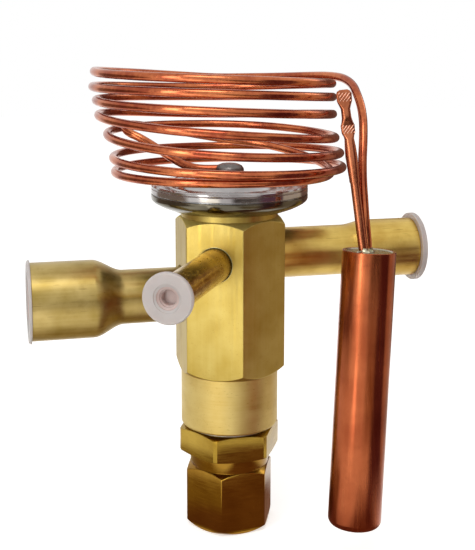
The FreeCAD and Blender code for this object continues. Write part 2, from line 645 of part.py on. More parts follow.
def adjusting_stem():
    """Stem with its thread at the top, a thrust flange and a slotted outer end."""
    groove_low = STEM_RING_HEIGHT - STEM_RING_SECTION
    groove_high = STEM_RING_HEIGHT + STEM_RING_SECTION
    stem = turned([
        (0, STEM_END), (STEM_RADIUS, STEM_END), (STEM_RADIUS, groove_low), (STEM_GROOVE_RADIUS, groove_low),
        (STEM_GROOVE_RADIUS, groove_high), (STEM_RADIUS, groove_high), (STEM_RADIUS, BONNET_COUNTERBORE_FLOOR),
        (STEM_FLANGE_RADIUS, BONNET_COUNTERBORE_FLOOR), (STEM_FLANGE_RADIUS, STEM_FLANGE_TOP),
        (STEM_THREAD_RADIUS, STEM_FLANGE_TOP), (STEM_THREAD_RADIUS, STEM_THREAD_TOP), (0, STEM_THREAD_TOP)])
    slot = Part.makeBox(
        2 * STEM_RADIUS, STEM_SLOT_WIDTH, STEM_SLOT_DEPTH, V(-STEM_RADIUS, -STEM_SLOT_WIDTH / 2.0, STEM_END))
    return stem.cut(slot)


def stem_ring():
    return ring(
        STEM_RADIUS, STEM_GROOVE_RADIUS + GROOVE_GAP,
        STEM_RING_HEIGHT - STEM_RING_SECTION, STEM_RING_HEIGHT + STEM_RING_SECTION)


def bonnet_nut():
    """Hexagon nut that closes the spring chamber and carries the cap's thread."""
    face = BONNET_FLATS / 2.0
    corner = BONNET_FLATS / math.sqrt(3) - BONNET_CORNER_FLAT
    hex_part = hexagon(BONNET_FLATS, BONNET_HEX_BOTTOM, BONNET_HEX_TOP, BONNET_CORNER_DEG).common(
        crowned_envelope(
            BONNET_HEX_BOTTOM, BONNET_HEX_TOP, corner, face, BONNET_BOTTOM_CHAMFER, face, BONNET_TOP_CHAMFER))
    spigot = cylinder(BONNET_BORE_RADIUS, BONNET_HEX_TOP - LAP, BONNET_SPIGOT_TOP)
    neck = cylinder(BONNET_NECK_RADIUS, BONNET_NECK_BOTTOM, BONNET_HEX_BOTTOM + LAP)
    stem_bore = cylinder(STEM_RADIUS + RUN_FIT, BONNET_NECK_BOTTOM - LAP, BONNET_SPIGOT_TOP)
    counterbore = cylinder(BONNET_COUNTERBORE_RADIUS, BONNET_COUNTERBORE_FLOOR, BONNET_SPIGOT_TOP + LAP)
    return hex_part.fuse([spigot, neck]).cut([stem_bore, counterbore]).removeSplitter()


def bonnet_gasket():
    return ring(BONNET_GASKET_RADIUS, BONNET_BORE_RADIUS, BONNET_HEX_TOP, SHANK_BOTTOM)


def seal_cap():
    """Hexagon cap with a turned collar, hollow so that it clears the stem."""
    hex_part = hexagon(CAP_FLATS, 0, CAP_HEX_TOP, CAP_CORNER_DEG)
    corner = CAP_FLATS / math.sqrt(3) - CAP_CORNER_FLAT
    envelope = crowned_envelope(
        0, CAP_HEX_TOP, corner, corner - CAP_BASE_CHAMFER, CAP_BASE_CHAMFER_HEIGHT,
        CAP_COLLAR_RADIUS, CAP_SHOULDER_CHAMFER)
    collar = cylinder(CAP_COLLAR_RADIUS, CAP_HEX_TOP - LAP, CAP_TOP)
    thread = BONNET_NECK_RADIUS + RUN_FIT
    inner = thread - CAP_THREAD_STEP
    hollow = turned([
        (0, CAP_FLOOR), (inner, CAP_FLOOR), (inner, CAP_THREAD_START), (thread, CAP_THREAD_START),
        (thread, CAP_TOP + LAP), (0, CAP_TOP + LAP)])
    return hex_part.common(envelope).fuse(collar).cut(hollow).removeSplitter()


def cap_gasket():
    return ring(CAP_GASKET_OUTER, BONNET_NECK_RADIUS + FREE_GAP, CAP_TOP, BONNET_HEX_BOTTOM)


def bulb_axis():
    """Foot and head of the bulb's axis, hung from the head that the two tubes leave."""
    head = place(BULB_HEAD)
    below = place([high - lean for high, lean in zip(BULB_HEAD, BULB_LEAN)])
    along = head.sub(below).normalize()
    return head.sub(along * BULB_LENGTH), head


def sensing_bulb():
    """Drawn copper can with a rounded closed end and an open head."""
    foot, head = bulb_axis()
    outer = Part.makeCylinder(BULB_RADIUS, BULB_LENGTH)
    foot_edges = [edge for edge in outer.Edges if edge.BoundBox.ZMax < BULB_EDGE_RADIUS]
    outer = outer.makeFillet(BULB_EDGE_RADIUS, foot_edges)
    inner = Part.makeCylinder(BULB_RADIUS - BULB_WALL, BULB_LENGTH, V(0, 0, BULB_FLOOR))
    return stand_on_line(outer.cut(inner), foot, head)


def bulb_end():
    """Disc brazed into the bulb's head, with the holes for the two tubes."""
    foot, head = bulb_axis()
    top = BULB_LENGTH - BULB_END_INSET
    disc = stand_on_line(cylinder(BULB_RADIUS - BULB_WALL, top - BULB_END_THICKNESS, top), foot, head)
    along = head.sub(foot).normalize()
    holes = []
    for seat in (BULB_LEAD[0], CHARGE_FOOT):
        start = place(seat).sub(along * BULB_END_THICKNESS)
        holes.append(Part.makeCylinder(BULB_HOLE_RADIUS, 3 * BULB_END_THICKNESS, start, along))
    return disc.cut(holes)


def smooth_tangents(points):
    tangents = []
    last = len(points) - 1
    for index, point in enumerate(points):
        before = points[max(index - 1, 0)]
        after = points[min(index + 1, last)]
        tangents.append(after.sub(before).normalize())
    return tangents


def biarc(start, start_tangent, end, end_tangent):
    """Two arcs that join two points and leave them along their tangents."""
    gap = end.sub(start)
    both = start_tangent.add(end_tangent)
    a = 2 * (1 - start_tangent.dot(end_tangent))
    b = 2 * gap.dot(both)
    c = -gap.dot(gap)
    if a < PARALLEL_LIMIT:
        reach = -c / b
    else:
        reach = (-b + math.sqrt(b * b - 4 * a * c)) / (2 * a)
    near = start.add(start_tangent * reach)
    far = end.sub(end_tangent * reach)
    middle = near.add(far) * 0.5
    return [arc_or_line(start, near, middle), arc_or_line(middle, far, end)]


def arc_or_line(start, corner, end):
    """Arc from start to end whose tangents meet at the corner."""
    chord_middle = start.add(end) * 0.5
    half_chord = end.sub(start).Length / 2.0
    rise = corner.sub(chord_middle).Length
    if rise < STRAIGHT_RISE:
        return Part.makeLine(start, end)
    side = math.hypot(half_chord, rise)
    sagitta = half_chord * (side - half_chord) / rise
    top = chord_middle.add(corner.sub(chord_middle).normalize() * sagitta)
    return Part.Arc(start, top, end).toShape()


def coil_quarters():
    """Left, front, right and back places of every turn as (height, radius, centre)."""
    quarters = []
    turns = len(COIL_LEFT_HEIGHTS)
    for turn in range(turns):
        heights = (
            COIL_LEFT_HEIGHTS[turn], COIL_FRONT_HEIGHTS[turn],
            COIL_RIGHT_HEIGHTS[turn], COIL_BACK_HEIGHTS[turn])
        for quarter, height in enumerate(heights):
            share = quarter / 4.0
            radius = COIL_RADII[turn] * (1 - share) + COIL_RADII[turn + 1] * share
            centre = COIL_CENTRES[turn] * (1 - share) + COIL_CENTRES[turn + 1] * share
            quarters.append((height, radius, centre))
    return quarters


def coil_points():
    """Points along the coil, from the left of the top turn to the back of the last."""
    quarters = coil_quarters()
    last = len(quarters) - 1
    steps = COIL_STEPS // 4
    points = []
    for index in range(last):
        around = [quarters[min(max(index + shift, 0), last)] for shift in (-1, 0, 1, 2)]
        for step in range(steps):
            share = step / float(steps)
            height, radius, centre = [blend(values, share) for values in zip(*around)]
            angle = math.radians(90 * (index + share) - 90)
            points.append((centre + radius * math.sin(angle), -radius * math.cos(angle), height))
    height, radius, centre = quarters[last]
    points.append((centre, radius, height))
    return points


def blend(values, share):
    """Smooth step between the two middle ones of four values."""
    before, low, high, after = values
    low_slope = (high - before) / 2.0
    high_slope = (after - low) / 2.0
    square = share * share
    cube = square * share
    return (
        (2 * cube - 3 * square + 1) * low + (cube - 2 * square + share) * low_slope
        + (3 * square - 2 * cube) * high + (cube - square) * high_slope)


def capillary_route():
    layout = list(BULB_LEAD) + coil_points() + list(HEAD_LEAD)
    return [place(point) for point in layout]


def capillary_tube():
    """One long tube from the bulb, round the coil and down into the head's boss."""
    points = capillary_route()
    tangents = smooth_tangents(points)
    edges = []
    for index in range(len(points) - 1):
        edges += biarc(points[index], tangents[index], points[index + 1], tangents[index + 1])
    path = Part.Wire(edges)
    section = Part.Wire(Part.makeCircle(CAPILLARY_RADIUS, points[0], tangents[0]))
    tube = path.makePipeShell([section], True, False)
    wanted = math.pi * CAPILLARY_RADIUS ** 2 * path.Length
    radii = [edge.Curve.Radius for edge in edges if hasattr(edge.Curve, "Radius")]
    print("capillary length %.1f volume %.1f expected %.1f" % (path.Length, tube.Volume, wanted))
    print("capillary bend radii %.1f to %.1f" % (min(radii), max(radii)))
    return tube


def charging_tube():
    """Thin tube that stands on the bulb's end disc."""
    tube = Part.makeCylinder(CHARGE_TUBE_RADIUS, CHARGE_TUBE_LENGTH)
    return stand_on_line(tube, place(CHARGE_FOOT), place(CHARGE_TOP))


def crimp_plate(start, length):
    """Flattened stretch of the sleeve with tapers to the round tube at both ends."""
    half = CRIMP_WIDTH / 2.0
    outline = [
        (-half, start), (-CHARGE_NECK_RADIUS, start - CRIMP_TAPER), (CHARGE_NECK_RADIUS, start - CRIMP_TAPER),
        (half, start), (half, start + length), (CHARGE_NECK_RADIUS, start + length + CRIMP_TAPER),
        (-CHARGE_NECK_RADIUS, start + length + CRIMP_TAPER), (-half, start + length)]
    points = [V(x, -CRIMP_THICKNESS / 2.0, z) for x, z in outline]
    plate = Part.Face(Part.makePolygon(points + points[:1])).extrude(V(0, CRIMP_THICKNESS, 0))
    grooves = []
    count = int(length / SERRATION_PITCH) + 1
    for side in (-1, 1):
        for index in range(count):
            bar = Part.makeBox(2 * CRIMP_WIDTH, 2 * SERRATION_DEPTH, SERRATION_WIDTH, V(
                -CRIMP_WIDTH, -SERRATION_DEPTH, -SERRATION_WIDTH / 2.0))
            bar.rotate(V(0, 0, 0), V(0, 1, 0), -SERRATION_DEG)
            bar.translate(V(0, side * CRIMP_THICKNESS / 2.0, start + (index + 0.5) * length / count))
            grooves.append(bar.common(Part.makeBox(
                CRIMP_WIDTH, 2 * CRIMP_THICKNESS, length, V(-half, -CRIMP_THICKNESS, start))))
    return plate.cut(grooves)


def charging_stub():
    """Wider sleeve over the charging tube, crimped shut in two places."""
    start = CHARGE_TUBE_LENGTH - CHARGE_TUBE_LAP
    lower_end = LOWER_CRIMP_FROM - CRIMP_TAPER / 2.0
    upper_start = LOWER_CRIMP_FROM + LOWER_CRIMP_LENGTH + CRIMP_TAPER / 2.0
    upper_end = UPPER_CRIMP_FROM - CRIMP_TAPER / 2.0
    sleeve = Part.makeCylinder(CHARGE_SLEEVE_RADIUS, lower_end - start, V(0, 0, start))
    bore = Part.makeCylinder(CHARGE_TUBE_RADIUS + RUN_FIT, CHARGE_TUBE_LAP + RUN_FIT, V(0, 0, start))
    taper = Part.makeCone(CHARGE_SLEEVE_RADIUS, CRIMP_THICKNESS / 2.0, CRIMP_TAPER, V(0, 0, lower_end))
    neck = Part.makeCylinder(CHARGE_NECK_RADIUS, upper_end - upper_start, V(0, 0, upper_start))
    stub = sleeve.fuse([
        taper, neck, crimp_plate(LOWER_CRIMP_FROM, LOWER_CRIMP_LENGTH),
        crimp_plate(UPPER_CRIMP_FROM, UPPER_CRIMP_LENGTH)])
    return stand_on_line(stub.cut(bore), place(CHARGE_FOOT), place(CHARGE_TOP))


NODES = {
    "valve_body": valve_body,
    "inlet_tube": inlet_tube,
    "outlet_tube": outlet_tube,
    "equalizer_tube": equalizer_tube,
    "inlet_plug": inlet_plug,
    "outlet_plug": outlet_plug,
    "equalizer_plug": equalizer_plug,
    "head_cup": head_cup,
    "head_cover": head_cover,
    "diaphragm": diaphragm,
    "head_boss": head_boss,
    "pressure_pad": pressure_pad,
    "push_rod": push_rod,
    "rod_seal": rod_seal,
    "seal_retainer": seal_retainer,
    "orifice_seat": orifice_seat,
    "valve_pin": valve_pin,
    "pin_carrier": pin_carrier,
    "superheat_spring": superheat_spring,
    "spring_seat": spring_seat,
    "adjusting_stem": adjusting_stem,
    "stem_ring": stem_ring,
    "bonnet_nut": bonnet_nut,
    "bonnet_gasket": bonnet_gasket,
    "seal_cap": seal_cap,
    "cap_gasket": cap_gasket,
    "sensing_bulb": sensing_bulb,
    "bulb_end": bulb_end,
    "capillary_tube": capillary_tube,
    "charging_tube": charging_tube,
    "charging_stub": charging_stub,
}

os.makedirs("parts", exist_ok=True)
for name, make in NODES.items():
    shape = make()
    shape.exportStep("parts/%s.step" % name)
    box = shape.BoundBox
    print("%-17s valid %s solids %d volume %.1f box %.1f %.1f %.1f" % (
        name, shape.isValid(), len(shape.Solids), shape.Volume, box.XLength, box.YLength, box.ZLength))
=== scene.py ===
import math

import bmesh
import bpy
from mathutils import Matrix, Vector


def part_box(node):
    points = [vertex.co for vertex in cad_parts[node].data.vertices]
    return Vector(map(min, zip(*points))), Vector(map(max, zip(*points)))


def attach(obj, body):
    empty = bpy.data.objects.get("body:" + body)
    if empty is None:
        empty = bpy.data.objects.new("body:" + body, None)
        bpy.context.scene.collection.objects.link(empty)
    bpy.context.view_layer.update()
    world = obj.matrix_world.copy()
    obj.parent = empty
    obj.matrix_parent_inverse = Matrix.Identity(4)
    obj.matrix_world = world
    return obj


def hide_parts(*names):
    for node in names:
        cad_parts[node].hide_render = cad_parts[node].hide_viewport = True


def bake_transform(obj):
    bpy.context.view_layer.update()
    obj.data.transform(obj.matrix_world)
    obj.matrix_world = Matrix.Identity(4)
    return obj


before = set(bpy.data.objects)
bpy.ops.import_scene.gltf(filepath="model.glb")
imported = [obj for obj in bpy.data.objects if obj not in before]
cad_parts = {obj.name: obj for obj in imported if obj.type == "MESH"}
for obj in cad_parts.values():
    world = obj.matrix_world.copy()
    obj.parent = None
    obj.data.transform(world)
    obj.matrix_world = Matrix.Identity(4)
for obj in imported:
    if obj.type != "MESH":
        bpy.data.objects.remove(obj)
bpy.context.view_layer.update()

# Valve body
# One length of hexagon brass bar. Its flats are milled, the shank below them is turned,
# and both ends of the hexagon are crowned on the lathe, which leaves arcs on the flats.
MM = 0.001
BODY_BAR = {
    "flats": 25.4, "corner_deg": 30.0, "corner_round": 0.3,
    "low_crown": ((12.5, 41.5), (14.66, 43.2)), "high_crown": ((12.4, 81.55), (14.66, 79.9)),
    "turned": (
        (12.3, 81.55), (12.3, 82.9), (8.2, 82.9), (8.2, 83.3), (4.5, 83.3), (4.5, 79.5), (2.6, 79.5),
        (2.6, 77.1), (1.25, 77.1), (1.25, 74.2), (4.2, 74.2), (4.2, 67.4), (5.0, 67.4), (5.0, 63.7),
        (6.4, 63.7), (6.4, 58.9), (7.3, 58.9), (7.3, 35.6), (9.0, 35.6), (9.0, 27.2), (11.9, 27.2),
        (12.3, 27.35), (12.5, 27.75))}
BODY_FACE = BODY_BAR["flats"] / 2
SHANK_TOP = 41.6
CROWN_FOOT = 79.85
CROWN_LEAN = 0.3
INLET_NECK, OUTLET_NECK, EQUALISER_RADIUS = 6.5, 6.8, 4.2
INLET_PLACE, OUTLET_PLACE, EQUALISER_PLACE = (71.2, 0), (61.8, 180), (71.0, 240)
TUBE_START = 8.7
EQUALISER_START = 9.5
JOINT_GROOVE_WIDTH = 0.55
JOINT_GROOVE_DEPTH = 0.35
GROOVE_FLOOR = BODY_FACE - JOINT_GROOVE_DEPTH
CUT_PAST = 1.0
ON_AXIS = 1e-6
EDGE_EASE = 0.16
EDGE_SHARE = 0.45
EDGE_STEPS = (1 / 3, 2 / 3, 1.0)
CORNER_STEPS = 4
FLAT_STEPS = 18
CROWN_STEPS = 6
SHARP_DEG = 25.0
TUBE_SEGMENTS = 96
BODY_PALE = "#BEA85E"
BODY_DEEP = "#AC9244"
BODY_STAIN = "#9E823C"
GRAIN_IN_CLOUDS = 0.35
BLOTS_PER_CLOUD = 1.7
STAIN_DULLING = 0.12
SCRATCH_MM = (5.0, 0.3, 0.3)
SCRATCH_SLANT = (0.5, 0.9, 0.4)


def linear(colour):
    """An sRGB hex colour as linear red, green, blue and alpha."""
    parts = [int(colour[place:place + 2], 16) / 255.0 for place in (1, 3, 5)]
    return [part / 12.92 if part <= 0.04045 else ((part + 0.055) / 1.055) ** 2.4 for part in parts] + [1.0]


def add_node(tree, kind, settings=None, links=None):
    """Adds a node, sets its properties and sockets, and links its inputs. A node that is
    given as a source stands for its first output."""
    made = tree.nodes.new(kind)
    for name, value in (settings or {}).items():
        if isinstance(name, str) and hasattr(made, name):
            setattr(made, name, value)
        else:
            made.inputs[name].default_value = value
    for name, source in (links or {}).items():
        tree.links.new(getattr(source, "outputs", [source])[0], made.inputs[name])
    return made


def new_material(name):
    """A new material, its node tree and the inputs of its shader."""
    material = bpy.data.materials.new(name)
    material.use_nodes = True
    return material, material.node_tree, material.node_tree.nodes["Principled BSDF"].inputs


def worked_metal(
        name, pale, deep, stain, roughness, grain_mm, relief_mm, cloud_mm=9.0, spread=0.07, scratched=0.5):
    """Bare metal: marks as long as grain_mm on each axis, clouds of colour, stains and scratches."""
    material, tree, surface = new_material(name)
    surface["Metallic"].default_value = 1.0
    place = add_node(tree, "ShaderNodeTexCoord").outputs["Object"]
    stretched, slanted = [
        add_node(
            tree, "ShaderNodeMapping", {"Rotation": turn, "Scale": [1.0 / (size * MM) for size in sizes]},
            {"Vector": place})
        for turn, sizes in (((0, 0, 0), grain_mm), (SCRATCH_SLANT, SCRATCH_MM))]
    cloud_scale = 1.0 / (cloud_mm * MM)
    grain, cloud, blot, hair = [
        add_node(
            tree, "ShaderNodeTexNoise", {"Scale": scale, "Detail": detail, "Roughness": rough},
            {"Vector": where})
        for where, scale, detail, rough in (
            (stretched, 1.0, 3.0, 0.5), (place, cloud_scale, 4.0, 0.5),
            (place, BLOTS_PER_CLOUD * cloud_scale, 7.0, 0.65), (slanted, 1.0, 1.0, 0.5))]
    both = add_node(
        tree, "ShaderNodeMath", {"operation": "MULTIPLY_ADD", 1: GRAIN_IN_CLOUDS}, {0: grain, 2: cloud})
    share, spots, lines, matt = [
        add_node(
            tree, "ShaderNodeMapRange", dict(zip(("From Min", "From Max", "To Min", "To Max"), ends)),
            {"Value": source})
        for source, ends in (
            (both, (0.5, 0.85, 0.0, 1.0)), (blot, (0.58, 0.86, 0.0, 0.6)),
            (hair, (0.69, 0.74, 0.0, scratched)),
            (grain, (0.3, 0.7, max(roughness - spread, 0.02), roughness + spread)))]
    colour = add_node(
        tree, "ShaderNodeMix", {"data_type": "RGBA", 6: linear(deep), 7: linear(pale)}, {0: share})
    for marks in (spots, lines):
        colour = add_node(
            tree, "ShaderNodeMix", {"data_type": "RGBA", 7: linear(stain)},
            {0: marks, 6: colour.outputs[2]})
    tree.links.new(colour.outputs[2], surface["Base Color"])
    dull = add_node(
        tree, "ShaderNodeMath", {"operation": "MULTIPLY_ADD", 1: STAIN_DULLING}, {0: spots, 2: matt})
    tree.links.new(dull.outputs[0], surface["Roughness"])
    height = add_node(tree, "ShaderNodeMath", {"operation": "SUBTRACT"}, {0: grain, 1: lines})
    relief = add_node(
        tree, "ShaderNodeBump", {"Strength": 0.5, "Distance": relief_mm * MM}, {"Height": height})
    tree.links.new(relief.outputs[0], surface["Normal"])
    return material


def added(name, data):
    """A new object in the scene that holds a mesh, curve, lamp or camera."""
    item = bpy.data.objects.new(name, data)
    bpy.context.scene.collection.objects.link(item)
    return item


def shown(name, mesh, slot, node, *materials, body="valve"):
    """Puts a mesh into the scene as a piece that rides on a body and may stand for a CAD node."""
    piece = added(name, mesh)
    mesh.materials.clear()
    for material in materials:
        mesh.materials.append(material)
    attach(piece, body)
    if node:
        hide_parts(node)


def meshed(work, name):
    """Ends a bmesh as a mesh with outward faces, smooth but for its sharp edges."""
    bmesh.ops.recalc_face_normals(work, faces=work.faces)
    mesh = bpy.data.meshes.new(name)
    work.to_mesh(mesh)
    work.free()
    for face in mesh.polygons:
        face.use_smooth = True
    mesh.set_sharp_from_angle(angle=math.radians(SHARP_DEG))
    return mesh


def skinned(work, rows):
    """Faces between rows of places that run round a shape; the last row joins the first."""
    around = len(rows[0])
    for low, high in zip(rows, rows[1:] + rows[:1]):
        for step in range(around):
            after = (step + 1) % around
            corners = list(dict.fromkeys((low[step], low[after], high[after], high[step])))
            if len(corners) > 2:
                work.faces.new(corners)


def ring_row(work, ways, places):
    """One row round a shape: a (radius, height) place along each way, or a single one on the axis."""
    if places[0][0] < ON_AXIS:
        return [work.verts.new((0, 0, places[0][1] * MM))] * len(ways)
    return [
        work.verts.new((way.x * radius * MM, way.y * radius * MM, height * MM))
        for way, (radius, height) in zip(ways, places)]


def spun(outline, segments=TUBE_SEGMENTS):
    """A closed (radius, height) outline in millimetres, turned about Z into a mesh."""
    work = bmesh.new()
    angles = [2 * math.pi * index / segments for index in range(segments)]
    ways = [Vector((math.cos(angle), math.sin(angle))) for angle in angles]
    skinned(work, [ring_row(work, ways, [place] * segments) for place in outline])
    return meshed(work, "spun")


def laid(mesh, place):
    """Swings a shape turned about Z so that it points outwards from the valve's axis. Its place
    is a height on that axis and the degrees round it."""
    height, degrees = place
    swing = Matrix.Rotation(math.radians(degrees), 4, "Z") @ Matrix.Rotation(math.radians(90), 4, "Y")
    mesh.transform(Matrix.Translation((0, 0, height * MM)) @ swing)
    return mesh


def on_crown(crown, radius):
    """Height at a radius on the part of a sphere through a crown's two (radius, height) places."""
    (near, low), (far, high) = crown
    centre = (far ** 2 - near ** 2 + high ** 2 - low ** 2) / (2 * (high - low))
    bulge = math.sqrt(near ** 2 + (low - centre) ** 2 - radius ** 2)
    return centre + math.copysign(bulge, low - centre)


def crowned_rim(crown, radius, inward):
    """Places from a crown's inner end to a wall: along the crown, and round the eased edge."""
    inner = crown[0][0]
    ease = min(EDGE_EASE, EDGE_SHARE * (radius - inner))
    start = radius - ease
    places = []
    for step in range(CROWN_STEPS + 1):
        reach = inner + (start - inner) * step / CROWN_STEPS
        places.append((reach, on_crown(crown, reach)))
    foot = places[CROWN_STEPS][1]
    edge = on_crown(crown, radius)
    for share in EDGE_STEPS:
        rest = 1 - share
        places.append((
            rest * rest * start + (1 - rest * rest) * radius,
            rest * rest * foot + 2 * rest * share * edge + share * share * (edge + inward * ease)))
    return places


def hexagon_bar(flats, corner_deg, low_crown, high_crown, turned, corner_round=0.0, corner_reach=None):
    """Hexagon bar with crowned ends, its corners rounded, or turned down to a reach. The rest of its
    outline is turned, from the inner end of the high crown round to the inner end of the low one."""
    work = bmesh.new()
    centre = (flats / 2 - corner_round) / math.cos(math.radians(30))
    bow = corner_round
    half_turn = math.radians(30)
    if corner_reach:
        centre = 0.0
        bow = corner_reach
        half_turn = math.radians(30) - math.acos(flats / 2 / corner_reach)
    arcs = []
    for corner in range(6):
        out = math.radians(corner_deg + 60 * corner)
        turns = [out + half_turn * (2 * step / CORNER_STEPS - 1) for step in range(CORNER_STEPS + 1)]
        arcs.append([Vector((
            centre * math.cos(out) + bow * math.cos(turn),
            centre * math.sin(out) + bow * math.sin(turn))) for turn in turns])
    places = []
    for corner, arc in enumerate(arcs):
        places += arc
        onward = arcs[(corner + 1) % 6][0]
        for step in range(1, FLAT_STEPS):
            places.append(arc[-1].lerp(onward, 0.5 - 0.5 * math.cos(math.pi * step / FLAT_STEPS)))
    ways = [place.normalized() for place in places]
    columns = []
    for place in places:
        low_rim = crowned_rim(low_crown, place.length, 1)
        columns.append(low_rim + crowned_rim(high_crown, place.length, -1)[::-1])
    rows = list(zip(*columns)) + [[place] * len(ways) for place in turned]
    skinned(work, [ring_row(work, ways, row) for row in rows])
    return meshed(work, "hexagon_bar")


def settled(holder, tools=()):
    """The plain mesh that an object's modifiers make. The object and its tools are removed."""
    bpy.context.view_layer.update()
    ready = holder.evaluated_get(bpy.context.evaluated_depsgraph_get())
    mesh = bpy.data.meshes.new_from_object(ready)
    for item in (holder, *tools):
        bpy.data.objects.remove(item)
    return mesh


def cut_away(mesh, shapes):
    """Cuts closed shapes out of a mesh."""
    blank = added("cut", mesh)
    tools = [added("cut", shape) for shape in shapes]
    for tool in tools:
        cut = blank.modifiers.new("cut", "BOOLEAN")
        cut.operation = "DIFFERENCE"
        cut.solver = "EXACT"
        cut.object = tool
    left = settled(blank, tools)
    left.set_sharp_from_angle(angle=math.radians(SHARP_DEG))
    return left


seats = []
for neck, port, start, port_start, place in (
        (INLET_NECK, 3.3, TUBE_START, 0.0, INLET_PLACE), (OUTLET_NECK, 4.2, TUBE_START, 5.4, OUTLET_PLACE),
        (EQUALISER_RADIUS, 1.5, EQUALISER_START, 6.3, EQUALISER_PLACE)):
    groove = neck + JOINT_GROOVE_WIDTH
    past = BODY_FACE + CUT_PAST
    seats.append(laid(spun([
        (0, port_start), (port, port_start), (port, start), (neck, start), (neck, GROOVE_FLOOR),
        (groove, GROOVE_FLOOR), (groove, past), (0, past)]), place))
body_mesh = cut_away(hexagon_bar(**BODY_BAR), seats)
# Milled brass: the cutter leaves faint upright bands about 0.8 mm apart, so the flats gleam softly.
milled_brass = worked_metal(
    "milled_brass_bar", BODY_PALE, BODY_DEEP, BODY_STAIN, 0.4, (0.8, 0.8, 30.0), 0.002)
# Turned brass: feed marks round the axis, 0.25 mm apart, drawn at 0.5 mm so that they show.
turned_brass = worked_metal(
    "turned_brass_shank", "#D2BC78", "#C0A45C", BODY_STAIN, 0.46, (9.0, 9.0, 0.5), 0.001)
# Faced brass: the crown under the head was cut by a facing tool and left dull. Its pale colour is painted
# light, standing in for the bright reflection that the crown's upward faces catch.
painted_light_brass = worked_metal(
    "faced_brass_crown", "#F0DC8C", "#DCC468", BODY_STAIN, 0.62, (9.0, 9.0, 0.5), 0.001)
shown("valve_body_bar", body_mesh, "body_brass", "valve_body", milled_brass, turned_brass, painted_light_brass)
# Faces below SHANK_TOP take the turned brass. The crown's upward faces take the painted light.
for face in body_mesh.polygons:
    face.material_index = int(face.center.z < SHANK_TOP * MM)
    if face.center.z > CROWN_FOOT * MM and face.normal.z > CROWN_LEAN:
        face.material_index = 2


# Inlet, outlet and equaliser tubes
# Drawn brass tubes, brazed into the body. The inlet and outlet are widened at the end
# over a die, in a smooth curve, so that a copper line of standard size slides in.
TUBE_EDGE = 0.15
EDGE_SEGMENTS = 2
FLARE_STEPS = 14
INLET_BORE, OUTLET_BORE, EQUALISER_BORE = 6.4, 8.0, 3.2
INLET_END, OUTLET_END, EQUALISER_END = 49.6, 50.5, 45.8


def with_eased_edges(mesh, width_mm):
    """Gives the sharp edges of a mesh the small radius that deburring leaves."""
    holder = added("edge_holder", mesh)
    ease = holder.modifiers.new("ease", "BEVEL")
    ease.width = width_mm * MM
    ease.segments = EDGE_SEGMENTS
    ease.limit_method = "ANGLE"
    ease.angle_limit = math.radians(SHARP_DEG)
    ease.harden_normals = True
    ease.use_clamp_overlap = False
    return settled(holder)


def flared(low, high, start, end):
    """Points of the soft S that the die leaves between two radii."""
    points = []
    for step in range(FLARE_STEPS + 1):
        share = step / FLARE_STEPS
        rise = share * share * (3 - 2 * share)
        points.append((low + (high - low) * rise, start + (end - start) * share))
    return points


def socket_tube(neck, neck_bore, socket, bore, flare, end):
    """A tube that is widened, over the flare's stretch, from its neck to a socket."""
    return spun(
        [(neck_bore, TUBE_START), (neck, TUBE_START)] + flared(neck, socket, *flare)
        + [(socket, end), (bore, end)] + flared(neck_bore, bore, *flare)[::-1])


# Drawn brass: long faint marks along X, with the brown of the brazing heat in soft clouds.
tube_brass = worked_metal(
    "drawn_brass_tube", "#BBA468", "#9E8748", "#766030", 0.36, (22.0, 0.9, 0.9), 0.0015, 7.0)
# The inlet has a lighter, warmer copy of the drawn brass. Its colour is painted light, making up for the
# dim front card that it reflects.
inlet_brass_painted_light = worked_metal(
    "drawn_brass_painted_light_tube", "#DCBE68", "#C09C4C", "#8E7230", 0.34, (22.0, 0.9, 0.9), 0.0015, 7.0)
# The equaliser's marks run along its own axis, 60 degrees off X, so its grain is alike in X and Y.
equaliser_brass = worked_metal(
    "drawn_brass_small_tube", "#CFAE52", "#A88434", "#74561E", 0.24, (2.2, 2.2, 0.6), 0.003, 4.0)
inlet_tube = socket_tube(INLET_NECK, 5.3, 7.6, INLET_BORE, (30.4, 36.9), INLET_END)
outlet_tube = socket_tube(OUTLET_NECK, 5.2, 9.7, OUTLET_BORE, (27.6, 35.3), OUTLET_END)
equaliser_tube = spun([
    (EQUALISER_BORE, EQUALISER_START), (EQUALISER_RADIUS, EQUALISER_START),
    (EQUALISER_RADIUS, EQUALISER_END), (EQUALISER_BORE, EQUALISER_END)])
for name, node, tube, brass, place in (
        ("inlet_drawn_tube", "inlet_tube", inlet_tube, inlet_brass_painted_light, INLET_PLACE),
        ("outlet_drawn_tube", "outlet_tube", outlet_tube, tube_brass, OUTLET_PLACE),
        ("equaliser_drawn_tube", "equalizer_tube", equaliser_tube, equaliser_brass, EQUALISER_PLACE)):
    shown(name, laid(with_eased_edges(tube, TUBE_EDGE), place), "tube_brass", node, brass)


# Brazing fillets
# A small hollow ring of silver brazing alloy fills the corner between each tube and the
# groove in the body. It ran in hot and lies smooth, stained to a dull olive by the flux.
FILLET_SIZE = 0.3
FILLET_LAP = 0.1
FILLET_STEPS = 5
BRAZING_SINK = 0.1


def brazed_ring(radius, foot, spread, rise, lap, steps, segments=TUBE_SEGMENTS):
    """A ring of alloy with a hollow face round a tube, lapping a little into the metal beside it."""
    outline = [(radius - lap, foot - BRAZING_SINK), (radius + spread, foot - BRAZING_SINK)]
    for step in range(steps + 1):
        turn = math.pi / 2 * step / steps
        outline.append((radius + spread * (1 - math.sin(turn)), foot + rise * (1 - math.cos(turn))))
    return spun(outline + [(radius - lap, foot + rise)], segments)


